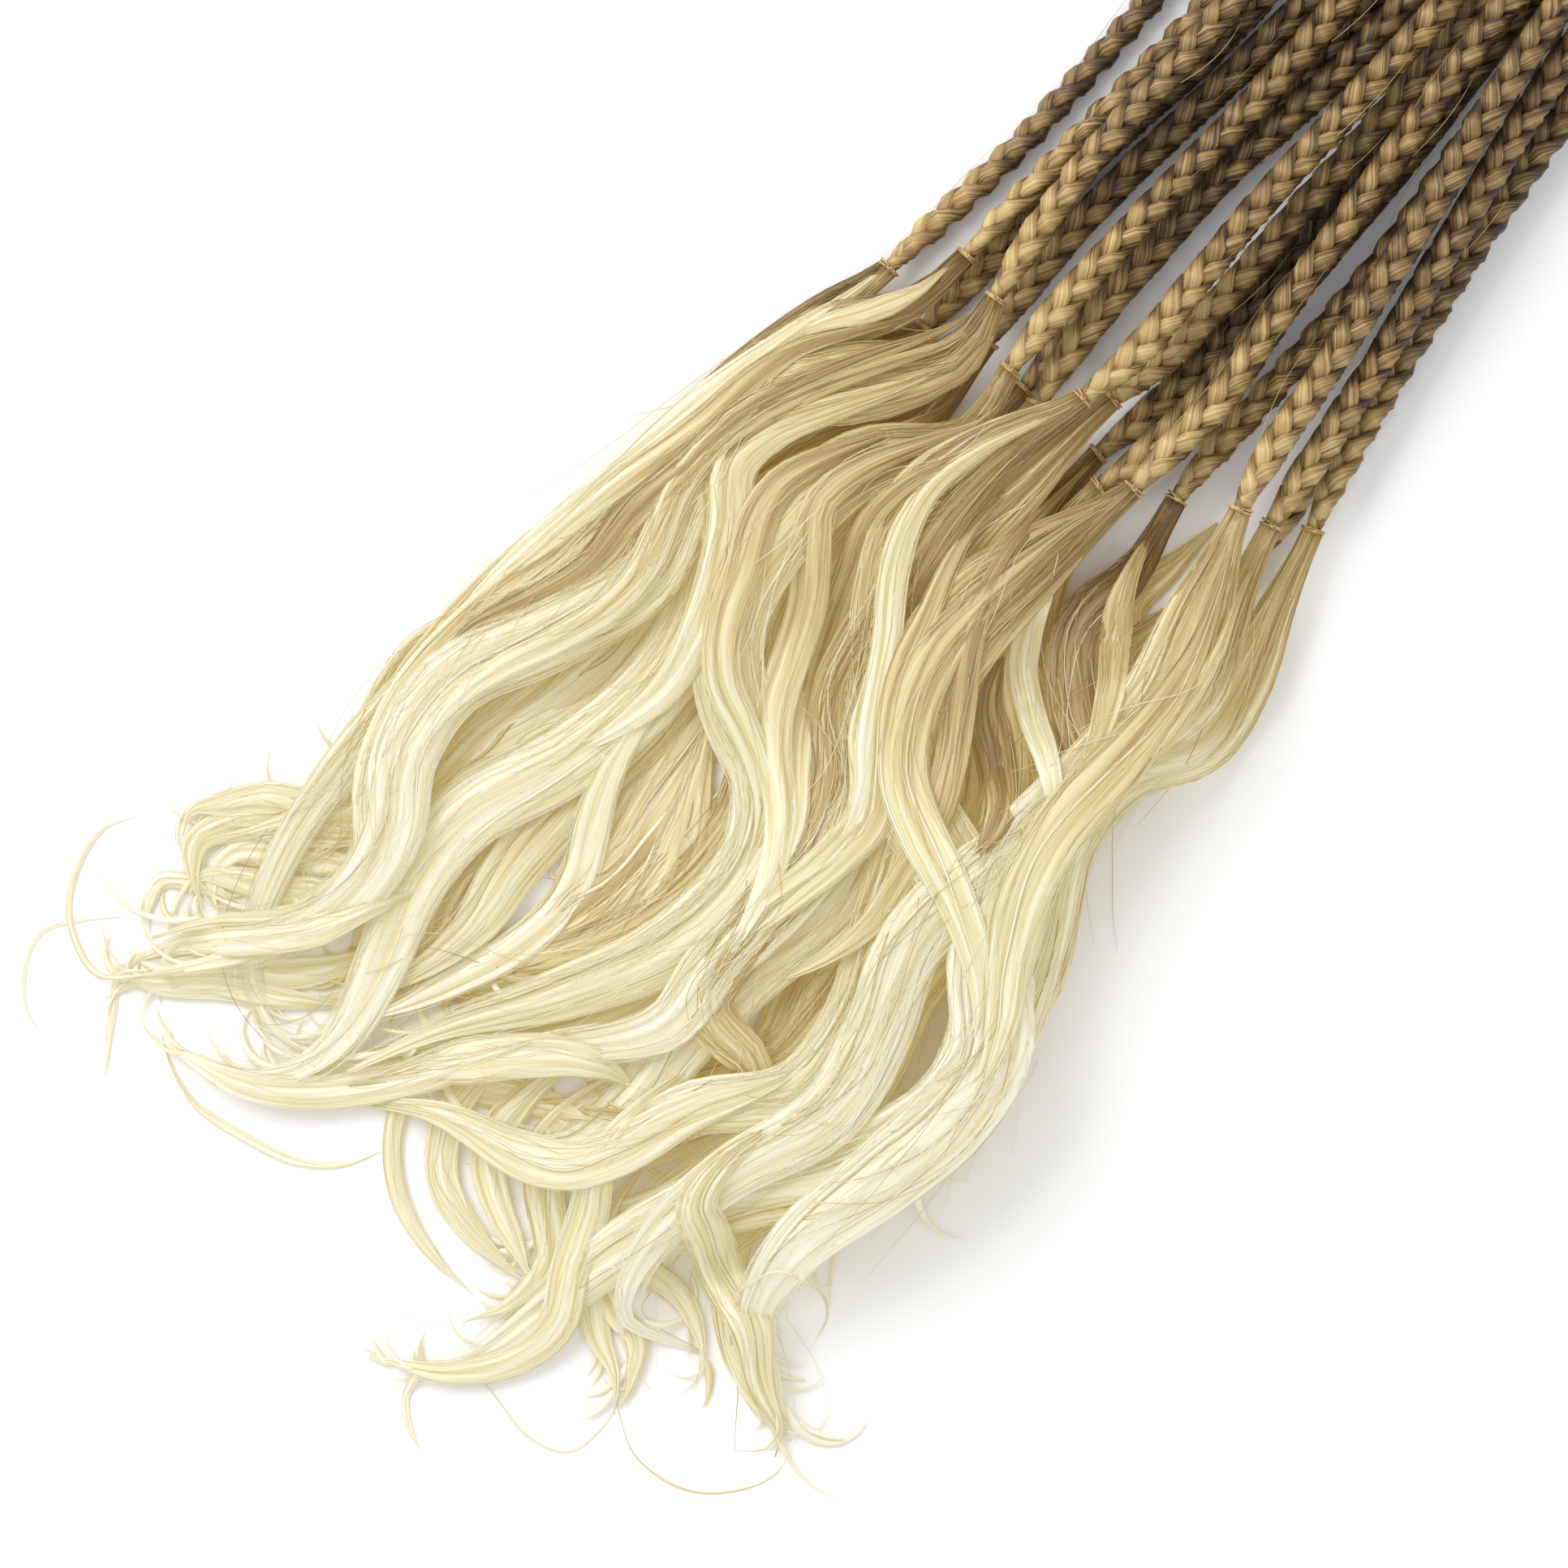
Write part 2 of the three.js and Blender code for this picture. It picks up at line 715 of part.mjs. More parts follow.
// One braid with its tie and loose hair, laid on what is already there
function braidSet(row) {
  const fromTie = [...row.braid.map(onTable), ...laneEnds(row.lane)];
  const routes = row.locks.map((lock) => [...fromTie].reverse().concat(lock.route.map(onTable)));
  const tieIndex = fromTie.length - 1;
  const backwards = [...routes[0]].reverse();
  const upwards = samplesThrough(backwards, backwards.length - 1 - tieIndex, backwards.length - 1);
  const braidSamples = lastStretch(upwards, braidLength);
  const tie = along(braidSamples, braidLength);

  const braid = braidSections(row, braidSamples, tie.tangent);
  const locks = row.locks.map((lock, i) =>
    lockSections(lock, samplesThrough(routes[i], tieIndex, routes[i].length - 1), tie.tangent));

  // The tie is the thickest place, so the neck on both of its sides lies at its height
  const ringEnds = [-1, 1].map((way) => {
    const at = tie.at.clone().addScaledVector(tie.tangent, way * (tieHeight / 2 + mapCell));
    return section({ at, tangent: tie.tangent }, 2 * tieOutside[0] / flatShare, 2 * tieOutside[1]);
  });
  const beside = [braid.slice(-3), ...locks.map((lock) => lock.slice(0, 3))];
  const strips = [ringEnds, ...beside.flatMap(([a, b, c]) => [[a, b], [b, c]])];
  const tieZ = Math.max(...strips.map(([a, b]) => restHeight(a, b)));

  for (const sections of [braid, ...locks]) settle(sections, tieZ);
  for (const sections of [braid, ...locks]) {
    sections.slice(1).forEach((b, i) => lay(sections[i], b));
  }
  ringEnds.forEach((end) => { end.z = tieZ; });
  lay(...ringEnds);

  return [
    piece('braid', row.name, skin(braidLines(braid, braidSamples))),
    piece('tie', row.name, tieRing(tie.at, tie.tangent, tieZ)),
    piece('tail', row.name, joined(locks.map((sections) => skin(cornerLines(sections))))),
  ];
}

const bundle = new THREE.Group();
for (const row of braids) bundle.add(...braidSet(row));

const box = new THREE.Box3().setFromObject(bundle);
bundle.position.set(-(box.min.x + box.max.x) / 2, -(box.min.y + box.max.y) / 2, -box.min.z);

export default bundle;
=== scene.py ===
import math

import bpy
import numpy as np
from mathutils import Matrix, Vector
from mathutils.bvhtree import BVHTree


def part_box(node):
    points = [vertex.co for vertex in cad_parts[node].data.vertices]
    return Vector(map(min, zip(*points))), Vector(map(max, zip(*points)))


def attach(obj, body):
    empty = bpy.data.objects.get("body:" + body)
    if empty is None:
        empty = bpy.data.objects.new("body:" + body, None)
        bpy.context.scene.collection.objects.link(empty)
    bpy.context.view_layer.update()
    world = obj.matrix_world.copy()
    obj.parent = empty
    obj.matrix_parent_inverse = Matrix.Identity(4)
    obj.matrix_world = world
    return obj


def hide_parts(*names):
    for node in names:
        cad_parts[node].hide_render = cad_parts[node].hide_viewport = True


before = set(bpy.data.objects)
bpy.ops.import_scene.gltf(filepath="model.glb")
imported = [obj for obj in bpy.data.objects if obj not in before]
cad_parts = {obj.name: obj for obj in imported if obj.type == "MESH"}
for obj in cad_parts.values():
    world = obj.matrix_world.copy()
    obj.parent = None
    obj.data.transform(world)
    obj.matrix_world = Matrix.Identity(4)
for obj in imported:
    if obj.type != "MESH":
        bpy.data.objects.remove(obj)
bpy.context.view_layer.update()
mm = 0.001
dice = np.random.default_rng(11)
anyPhase = (0, 6.28)

# Where a pixel of the photograph lies on the table
photo = {"size": 1932, "pixel": 0.13 * mm, "turn": math.radians(50), "firstTie": (1095, 332)}

# Braid of three flat strands; swing and weave are how far a strand goes aside and up
# The tone that each strand gains on its crown and loses where it dives under is painted light and shade
braidShape = {
    "strands": 3, "pitch": 17.4 * mm, "swing": 1.5 * mm, "weave": 0.92 * mm, "narrow": 1.25 * mm,
    "broad": 1.75 * mm, "thick": 1.16 * mm, "slimEnds": 0.72, "sides": 8, "stepsInPitch": 12,
    "uneven": 0.05, "unevenOver": 37 * mm, "tieEase": (-4 * mm, 11 * mm), "tone": 0.1, "toneSpread": 0.03,
    "paintedCrownLight": 0.25, "tieTone": 0.24, "tieFades": (4 * mm, 42 * mm), "untwist": (100 * mm, 179 * mm),
}
# Loop at a braid's head; the strands narrow before it and run a little way into it
loopShape = {
    "length": 17 * mm, "leg": 1.35 * mm, "halfThick": 1.5 * mm, "runIn": 5 * mm, "narrowOver": 8 * mm,
    "narrowBy": 0.75, "pinched": 0.35, "sides": 12, "legSteps": 14, "bendSteps": 11, "frames": 200,
}
# Short hairs that stand out of a braid; aside and above are where its faces are
flyawayShape = {
    "count": 10, "steps": 14, "aside": 2.4 * mm, "above": 1.5 * mm, "reach": (0.6, 2.2),
    "tones": (0.2, 0.6), "radius": 0.05 * mm,
}
# Painted shade: braids that lie under others are made darker
paintedBraidShade = {
    "04": -0.06, "05": -0.03, "07": -0.08, "08": -0.04, "11": -0.08, "12": -0.07, "14": -0.03, "17": -0.05,
}
# Twist of each braid about its length, in degrees, where it doesn't lie flat
braidTwist = {"01": 55, "02": 60, "03": 25, "08": 8, "09": -8, "10": 20, "13": 5, "14": 35, "18": 40}

# Folds along a lock: how many lie round it and how deep each kind is
lockFolds = [(5, 0.2 * mm), (9, 0.1 * mm), (14, 0.06 * mm)]
# Waves of a line that lies on a lock: how many along it, and how much each counts
lockSway = [(1.3, 1), (2.7, 0.6), (5.1, 0.35)]
# Loose lock: a softly folded body with thin wisps on it and single hairs over them
lockShape = {
    "wide": 10.5 * mm, "thick": 2.5 * mm, "neckWide": 3.3 * mm, "neckThick": 2.8 * mm, "neckLength": 7 * mm,
    "thickens": (2 * mm, 14 * mm), "opened": 34 * mm, "thinFrom": 0.6, "tip": 0.42, "tipThick": 0.55,
    "waistReach": 0.12, "steps": 60, "sides": 44, "wisps": 4, "hairs": 40, "crest": 0.3 * mm,
    # The tone on the crests of bends is painted highlight, with painted shade between them
    "crestGrows": (15 * mm, 45 * mm), "paintedCrestLight": 0.16, "evenCrest": 0.35, "blondeLength": 86 * mm,
    # The tone on fold ridges is painted light, with painted shade in the folds' valleys
    "tipTone": 1.0, "paintedFoldLight": 0.11, "slimUnder": 4 * mm,
}
wispShape = {
    "sides": 4, "lift": 0.1 * mm, "wander": 0.16, "ends": (0.88, 1), "halfWide": (0.05, 0.13),
    "halfThick": (0.05, 0.09), "tone": (0.03, 0.07),
}
hairShape = {"radius": 0.055 * mm, "lift": 0.6 * mm, "wander": 0.25, "ends": (0.85, 1), "tone": (0.02, 0.1)}
# Small lock: sunk is how deep its ends and how high its middle lie, in thicknesses
smallShape = {
    "steps": 40, "thick": 0.7 * mm, "thickShare": 0.35, "onTable": (0, 0.9), "sunk": (-1.8, 1.1),
    "sinks": (0.22, 0.15), "toneRise": 0.06, "broadFrom": 4, "broadSides": 30, "sides": 16,
    "wisps": 0.45, "hairs": 2.4,
}
# Thin curls at a lock's tip and single hairs that stray from it, reaching so many millimetres
curlShape = {
    "count": 8, "size": 0.8, "smallCount": 4, "smallSize": 0.4, "below": 4 * mm, "steps": 22, "sides": 6,
    "starts": (0.72, 0.96), "turns": (0.5, 3), "reach": (10, 27), "aside": (-2.4, 2.4), "rise": (0.3, 1.1),
    "halfWide": (0.2, 0.85), "halfThick": (0.1, 0.2),
}
strayShape = {
    "count": 15, "steps": 22, "radius": 0.065 * mm, "tone": 0.8, "toneSpread": 0.2, "starts": (0.05, 0.8),
    "reach": (22, 60), "aside": (-5, 5), "drift": (-11, 11), "wave": 1.5 * mm, "rise": 0.5, "arch": 1.5,
}

tailLocks, smallLocks = {}, {}


def mainLock(tail, wide, thick, root, *route, **more):
    lock = {"wide": wide, "thick": thick, "root": root, "route": route, **more}
    tailLocks.setdefault(tail, []).append(lock)


def smallLock(tail, width, tone, *route, **more):
    smallLocks.setdefault(tail, []).append({"width": width, "tone": tone, "route": route, **more})


# Each tail's main locks: share of the full width and thickness, tone at the tie from 0, brown, to 1, pale
# blonde, and the route in pixels from beyond the tie to the tip. blonde is the length in which most of a
# lock turns blonde, tip its last tone, and waist a place along it and how much it narrows there
mainLock(
    "01", 0.68, 0.9, 0.55, (1005, 408), (903, 492), (790, 597), (660, 712), (520, 838), (420, 947),
    (340, 1075), (308, 1190), (335, 1265), (395, 1308))
mainLock(
    "01", 0.6, 0.8, 0.27, (1015, 378), (912, 462), (785, 585), (642, 697), (528, 815), (458, 912),
    (405, 985), (320, 1020), (235, 1040))
mainLock(
    "02", 0.85, 0.9, 0.31, (1120, 378), (1010, 412), (912, 498), (795, 606), (692, 698), (600, 767),
    (520, 852), (470, 950), (455, 1060), (370, 1125), (260, 1135), (190, 1155))
mainLock(
    "03", 1.1, 1.1, 0.42, (1190, 445), (1080, 480), (950, 490), (890, 570), (880, 690), (820, 830),
    (700, 935), (575, 1005), (510, 1090), (465, 1200), (420, 1280), (360, 1320), (290, 1325), (220, 1295))
mainLock(
    "03", 1.05, 1, 0.34, (1170, 440), (1040, 465), (930, 510), (850, 600), (800, 710), (680, 785),
    (560, 840), (500, 930), (485, 1030), (420, 1120), (300, 1175), (165, 1205))
mainLock(
    "04", 0.85, 0.9, 0.31, (1030, 440), (930, 500), (840, 590), (760, 680), (650, 760), (530, 810),
    (465, 900), (440, 1000), (370, 1060), (270, 1060))
mainLock(
    "05", 1.05, 1, 0.27, (1130, 520), (1010, 560), (920, 640), (880, 765), (805, 880), (710, 975),
    (630, 1070), (580, 1145), (495, 1205), (395, 1230))
mainLock(
    "06", 1.1, 1, 0.45, (1190, 540), (1060, 575), (960, 660), (898, 770), (905, 870), (945, 960),
    (925, 1070), (830, 1165), (690, 1225), (540, 1270), (430, 1320))
mainLock(
    "07", 1, 1, 0.27, (1180, 570), (1060, 650), (980, 750), (950, 870), (925, 990), (860, 1090),
    (750, 1160), (640, 1190), (520, 1150), (430, 1170))
mainLock(
    "08", 1, 1, 0.42, (1200, 580), (1060, 640), (985, 740), (950, 860), (965, 980), (955, 1080),
    (880, 1180), (770, 1250), (640, 1285), (490, 1310), (340, 1335), (215, 1295))
mainLock(
    "09", 1, 1, 0.45, (1225, 545), (1130, 620), (1090, 740), (1080, 870), (1060, 980), (980, 1090),
    (880, 1190), (820, 1265), (700, 1290), (560, 1290))
# This lock's tip tone is lowered as painted shade, where it lies under others
mainLock(
    "09", 0.9, 0.9, 0.42, (1240, 560), (1150, 650), (1085, 760), (1035, 860), (1035, 960), (1000, 1060),
    (920, 1150), (870, 1240), (930, 1320), (840, 1370), (720, 1365), tip=0.62)
mainLock(
    "10", 1.05, 1, 0.4, (1270, 590), (1180, 680), (1130, 790), (1092, 900), (1085, 1010), (1030, 1110),
    (930, 1190), (850, 1270), (790, 1350), (700, 1415), (600, 1395), (500, 1350))
mainLock(
    "11", 1.05, 1, 0.24, (1280, 650), (1210, 740), (1190, 850), (1200, 960), (1165, 1060), (1105, 1150),
    (1060, 1250), (990, 1330), (880, 1370), (770, 1420), (660, 1430), (560, 1375))
mainLock(
    "12", 0.9, 0.9, 0.38, (1295, 710), (1268, 800), (1290, 910), (1285, 1010), (1210, 1110), (1120, 1220),
    (1060, 1340), (960, 1430), (850, 1480), (770, 1560), (735, 1650))
mainLock(
    "12", 0.9, 0.9, 0.4, (1260, 720), (1220, 830), (1235, 930), (1215, 1030), (1140, 1130), (1080, 1240),
    (1010, 1360), (890, 1420), (790, 1480), (690, 1490))
mainLock(
    "13", 1.2, 1.1, 0.42, (1290, 670), (1180, 765), (1112, 880), (1120, 980), (1185, 1095), (1222, 1220),
    (1180, 1350), (1060, 1430), (900, 1470), (770, 1535), (660, 1620), (560, 1685), (455, 1672))
mainLock(
    "13", 0.95, 1, 0.42, (1300, 690), (1195, 790), (1135, 900), (1128, 1010), (1090, 1130), (1050, 1260),
    (980, 1345), (850, 1365), (740, 1425), (640, 1425), (520, 1360))
mainLock(
    "14", 0.95, 1, 0.24, (1400, 700), (1332, 770), (1325, 870), (1345, 960), (1290, 1060), (1250, 1160),
    (1230, 1260), (1190, 1360), (1100, 1440), (970, 1480), (880, 1560), (905, 1660))
mainLock(
    "15", 1.25, 1.1, 0.5, (1470, 740), (1420, 850), (1325, 955), (1240, 1060), (1215, 1180), (1218, 1290),
    (1170, 1370), (1080, 1450), (980, 1530), (930, 1620), (955, 1710), (960, 1785), blonde=45 * mm,
    waist=(0.26, 0.42))
mainLock(
    "15", 1, 1, 0.52, (1490, 750), (1440, 870), (1340, 980), (1200, 1075), (1120, 1160), (1080, 1270),
    (1020, 1370), (900, 1440), (800, 1530), (770, 1620), (860, 1665), blonde=45 * mm, waist=(0.26, 0.45))
mainLock(
    "16", 1.05, 1, 0.5, (1520, 740), (1470, 845), (1385, 915), (1300, 1030), (1272, 1145), (1238, 1250),
    (1195, 1345), (1120, 1425), (1045, 1485), (965, 1545), (935, 1629), blonde=45 * mm)
mainLock(
    "17", 1.05, 1, 0.46, (1470, 755), (1400, 815), (1362, 900), (1310, 990), (1290, 1100), (1268, 1200),
    (1200, 1300), (1110, 1390), (990, 1450), blonde=45 * mm)
mainLock(
    "18", 0.95, 1.1, 0.5, (1572, 748), (1528, 845), (1478, 915), (1385, 948), (1312, 1030), (1286, 1135),
    (1256, 1240), (1224, 1325), (1165, 1380), (1105, 1440), blonde=45 * mm)

# Tone of the tips for tails that lie under others: lowered, so darker and more golden, as painted shade
paintedTailTipShade = {
    "04": 0.82, "05": 0.9, "07": 0.72, "08": 0.88, "11": 0.85, "12": 0.85, "14": 0.88, "17": 0.8, "18": 0.9,
}

# Each tail's small locks: width in millimetres, tone at the start, and the route in pixels. They lie over
# what is there, or on the table where under is true; startUnder and endUnder keep an end low. tipTone is
# the last tone where it differs
smallLock(
    "01", 5.5, 0.82, (1100, 325), (1045, 368), (985, 408), (925, 452), (865, 500), (800, 555), (735, 608),
    (665, 665), (600, 722), (540, 785), tipTone=1.0)
smallLock(
    "01", 6, 0.85, (560, 985), (470, 1000), (390, 998), (330, 984), (280, 990), (236, 1000), (226, 1030),
    under=True)
smallLock(
    "01", 6, 0.8, (520, 1010), (430, 1030), (350, 1020), (280, 1018), (243, 1040), (240, 1085), (252, 1120),
    under=True)
smallLock(
    "01", 4.5, 0.9, (520, 1050), (430, 1065), (350, 1052), (290, 1050), (262, 1080), (270, 1130),
    under=True)
smallLock(
    "02", 5, 0.45, (1150, 372), (1110, 395), (1050, 412), (985, 432), (930, 470), (880, 515), (820, 560),
    (750, 610), (690, 660), (640, 700), (580, 740), tipTone=0.85)
smallLock(
    "02", 3.6, 0.75, (1172, 328), (1130, 362), (1070, 388), (1010, 405), (950, 432))
smallLock(
    "02", 3, 0.9, (300, 1120), (265, 1100), (240, 1088), (200, 1085), (182, 1120), (185, 1150))
smallLock(
    "02", 5, 0.88, (540, 1090), (470, 1115), (380, 1150), (300, 1160), (220, 1165), (150, 1190),
    startUnder=True)
smallLock(
    "03", 7, 0.6, (1190, 440), (1120, 475), (1030, 505), (950, 535), (905, 575), (900, 640), (885, 710),
    (860, 780), (820, 850), (750, 905), (670, 945), tipTone=0.95)
smallLock(
    "03", 5.5, 0.42, (1222, 376), (1180, 420), (1100, 450), (1010, 480), (930, 515), (870, 560), (830, 620),
    (805, 690), (760, 745), (690, 790), (610, 830), (550, 880), (515, 940), (495, 1000), tipTone=0.95)
smallLock(
    "03", 6.5, 0.5, (1195, 392), (1150, 415), (1070, 445), (990, 480), (910, 525), (850, 580), (780, 640),
    (730, 700), (660, 740), (580, 775), (530, 830))
smallLock(
    "03", 5, 0.9, (520, 1150), (450, 1180), (360, 1200), (280, 1190), (190, 1202), (130, 1230), under=True)
smallLock(
    "03", 1.2, 0.9, (230, 1195), (185, 1200), (120, 1200), (90, 1150), (85, 1110), (100, 1060), (130, 1020),
    (180, 1003))
smallLock(
    "03", 0.7, 1, (150, 1130), (100, 1135), (50, 1150), (30, 1200), (35, 1250), (60, 1280))
smallLock(
    "03", 1.3, 0.95, (190, 1195), (150, 1200), (138, 1250), (132, 1300), (130, 1330))
smallLock(
    "04", 5.5, 0.5, (1080, 432), (1010, 460), (940, 495), (890, 535), (845, 590), (815, 655), (780, 720),
    (720, 770), (650, 800), (580, 835), tipTone=0.8)
smallLock(
    "04", 9, 0.78, (860, 680), (780, 770), (700, 840), (620, 900), (560, 950), (500, 1000), under=True)
smallLock(
    "04", 8, 0.7, (800, 720), (720, 800), (640, 860), (560, 930), (500, 1010), (470, 1100), (440, 1180),
    (420, 1230), under=True)
smallLock(
    "04", 5, 0.88, (520, 1090), (440, 1110), (350, 1128), (280, 1150), (232, 1140), (205, 1120), under=True)
smallLock(
    "04", 5, 0.85, (480, 1075), (400, 1100), (320, 1090), (250, 1080), (232, 1105), under=True)
smallLock(
    "05", 6.5, 0.4, (1180, 495), (1110, 530), (1030, 560), (965, 595), (935, 640), (918, 700), (898, 750),
    (888, 795), (892, 845), (915, 895), (935, 945), (942, 1000), (925, 1055), (890, 1105), tipTone=0.95)
smallLock(
    "05", 8, 0.8, (900, 760), (850, 820), (770, 870), (680, 905), (600, 950), (540, 1010), (500, 1060),
    under=True)
smallLock(
    "05", 9, 0.66, (870, 760), (790, 850), (700, 920), (620, 990), (560, 1060), (530, 1130), (520, 1200),
    (480, 1260), under=True)
smallLock(
    "05", 6.5, 0.85, (860, 800), (790, 890), (748, 960), (728, 1020), (715, 1075), (690, 1120), (640, 1165),
    (570, 1205), (495, 1240), (420, 1262), startUnder=True)
smallLock(
    "05", 4.5, 0.9, (440, 1240), (350, 1230), (270, 1215), (190, 1215), (140, 1195), under=True)
smallLock(
    "06", 6.5, 0.4, (1243, 464), (1215, 520), (1150, 545), (1070, 575), (1010, 620), (1000, 680),
    (995, 745), (975, 810), (955, 870), (952, 930), (962, 990), (958, 1050), (935, 1110), (900, 1170),
    (850, 1225), tipTone=0.95)
smallLock(
    "06", 8.5, 0.74, (935, 700), (905, 790), (870, 860), (820, 950), (770, 1030), (700, 1100), (640, 1150),
    under=True)
smallLock(
    "06", 6, 0.9, (745, 1259), (605, 1298), (496, 1329), (395, 1345), (309, 1337), (239, 1306), (188, 1275))
smallLock(
    "06", 9, 0.6, (905, 820), (880, 900), (830, 980), (770, 1060), (700, 1120), (640, 1190), (560, 1250),
    under=True)
smallLock(
    "06", 7.5, 0.88, (430, 1335), (500, 1320), (600, 1303), (700, 1300), (755, 1318), (795, 1352))
smallLock(
    "07", 8, 0.74, (880, 860), (860, 960), (840, 1040), (800, 1110), (720, 1180), (640, 1220), under=True)
smallLock(
    "07", 9, 0.6, (950, 900), (900, 980), (840, 1060), (770, 1130), (690, 1180), (600, 1210), (520, 1240),
    under=True)
smallLock(
    "08", 5, 0.38, (1275, 502), (1235, 540), (1180, 570), (1120, 600), (1075, 640), (1050, 700),
    (1025, 770), (1005, 830), (990, 890), (985, 950), (985, 1010), (965, 1070), (935, 1120), tipTone=0.85)
smallLock(
    "08", 8.5, 0.65, (1060, 1060), (1030, 1140), (990, 1210), (960, 1280), (900, 1340), (820, 1380),
    (700, 1390), under=True)
smallLock(
    "08", 1.6, 0.9, (200, 1275), (210, 1310), (240, 1360), (300, 1400), (360, 1430), (420, 1435),
    (480, 1415))
smallLock(
    "09", 5, 0.6, (1328, 500), (1270, 527), (1205, 560), (1150, 600), (1115, 655), (1098, 720), (1092, 790),
    (1080, 860), (1068, 920), (1066, 970), (1045, 1025), (1000, 1075), (950, 1120), tipTone=1.0)
smallLock(
    "09", 5, 0.78, (1085, 760), (1070, 850), (1060, 900), (1065, 950), (1060, 1000), (1020, 1050),
    (970, 1090), (900, 1150))
smallLock(
    "09", 5.5, 0.85, (510, 1340), (585, 1341), (663, 1357), (733, 1380))
smallLock(
    "10", 5, 0.5, (1290, 570), (1255, 595), (1205, 640), (1168, 700), (1143, 760), (1115, 820), (1098, 880),
    (1092, 950), (1080, 1015), (1040, 1060), (980, 1110), (930, 1150), (880, 1190), tipTone=0.85)
smallLock(
    "10", 7, 0.62, (1130, 1000), (1110, 1080), (1060, 1150), (1010, 1230), (950, 1300), (880, 1330),
    (780, 1350), (640, 1360), under=True)
smallLock(
    "10", 3.2, 0.85, (600, 1270), (535, 1310), (500, 1350), (484, 1400), (492, 1473), (531, 1543),
    (585, 1597), under=True)
smallLock(
    "10", 5.5, 0.85, (680, 1270), (605, 1315), (560, 1365), (547, 1400), (547, 1458), (578, 1512),
    (624, 1559), (650, 1580), under=True)
smallLock(
    "11", 5.5, 0.33, (1350, 566), (1300, 615), (1250, 670), (1215, 730), (1190, 800), (1180, 870),
    (1170, 940), (1150, 1010), (1110, 1080), (1070, 1140), (1000, 1190), (920, 1220), tipTone=0.85)
smallLock(
    "11", 8, 0.86, (430, 1357), (540, 1370), (640, 1420), (700, 1435), (760, 1420), (850, 1370),
    (960, 1330), (1010, 1300))
smallLock(
    "11", 5.5, 0.85, (740, 1290), (660, 1340), (615, 1390), (601, 1420), (609, 1473), (640, 1543),
    (660, 1590), under=True)
smallLock(
    "11", 6.5, 0.87, (820, 1300), (730, 1350), (680, 1400), (671, 1430), (671, 1473), (679, 1551),
    (632, 1605), (570, 1629), under=True)
smallLock(
    "12", 6.5, 0.45, (1250, 790), (1230, 820), (1215, 870), (1225, 930), (1230, 990), (1210, 1040),
    (1190, 1070))
smallLock(
    "12", 6.5, 0.87, (880, 1300), (800, 1355), (745, 1419), (725, 1497), (702, 1567), (687, 1629),
    (632, 1675), (547, 1691), (477, 1675), (450, 1662), startUnder=True)
smallLock(
    "12", 4.5, 0.85, (790, 1440), (750, 1500), (740, 1560), (757, 1613), (785, 1650), (778, 1700),
    (765, 1735), under=True)
smallLock(
    "12", 4.5, 0.85, (720, 1430), (722, 1490), (749, 1545), (800, 1568), (840, 1600), (862, 1645),
    (868, 1690), under=True)
smallLock(
    "12", 0.4, 0.85, (570, 1670), (610, 1720), (650, 1770), (700, 1790), (750, 1750), (770, 1700))
smallLock(
    "13", 8, 0.45, (1385, 615), (1330, 645), (1270, 690), (1200, 750), (1145, 820), (1118, 890),
    (1112, 960), (1132, 1020), (1165, 1085), (1192, 1150), (1205, 1210), (1200, 1270), (1165, 1330),
    tipTone=0.98)
smallLock(
    "13", 1.4, 0.9, (560, 1680), (520, 1690), (500, 1720), (505, 1760), (520, 1790))
smallLock(
    "13", 6, 0.88, (960, 1380), (895, 1435), (840, 1490), (772, 1535), (733, 1582), (735, 1640),
    (757, 1695), (757, 1742), under=True)
smallLock(
    "14", 4.6, 0.93, (1330, 650), (1298, 705), (1272, 765), (1260, 820), (1270, 880), (1287, 940),
    (1297, 1000), (1290, 1060), startUnder=True, endUnder=True)
smallLock(
    "15", 9, 0.54, (1515, 662), (1494, 740), (1468, 810), (1428, 875), (1372, 940), (1318, 1000),
    (1278, 1058), (1250, 1120), (1236, 1190), (1228, 1260), (1202, 1330), (1150, 1385), tipTone=0.92,
    endUnder=True)
smallLock(
    "15", 5, 0.62, (1430, 640), (1400, 690), (1378, 745), (1372, 800), (1365, 850), (1345, 920),
    (1310, 980), tipTone=0.72, startUnder=True, endUnder=True)
smallLock(
    "15", 8, 0.6, (1500, 645), (1440, 700), (1385, 745), (1380, 800), (1372, 850), (1350, 920),
    (1300, 1000), under=True)
smallLock(
    "15", 7.5, 0.84, (980, 1370), (900, 1420), (860, 1480), (875, 1520), (889, 1567), (925, 1630),
    (937, 1700), (962, 1765), (955, 1795), startUnder=True)
smallLock(
    "15", 6, 0.86, (960, 1470), (915, 1535), (900, 1600), (905, 1640), (925, 1700), (950, 1750),
    (975, 1775), under=True)
smallLock(
    "15", 0.4, 0.85, (760, 1730), (780, 1790), (830, 1830), (880, 1840), (950, 1820), (990, 1760))
smallLock(
    "15", 0.4, 0.85, (890, 1620), (920, 1580), (960, 1560), (1010, 1590), (1020, 1620), (1000, 1660))
smallLock(
    "16", 5, 0.6, (1545, 690), (1520, 740), (1497, 800), (1462, 860), (1415, 915), (1350, 975),
    (1305, 1040), (1280, 1100), (1262, 1170), (1248, 1240), (1235, 1310), tipTone=0.88)


def turned(pixels):
    offset = (np.array(pixels, float) - photo["size"] / 2) * photo["pixel"]
    right, up = offset[:, 0], -offset[:, 1]
    c, s = math.cos(photo["turn"]), math.sin(photo["turn"])
    return np.stack([right * c + up * s, up * c - right * s], 1)


def boxMiddle(node):
    return np.array(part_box(node)).mean(0)


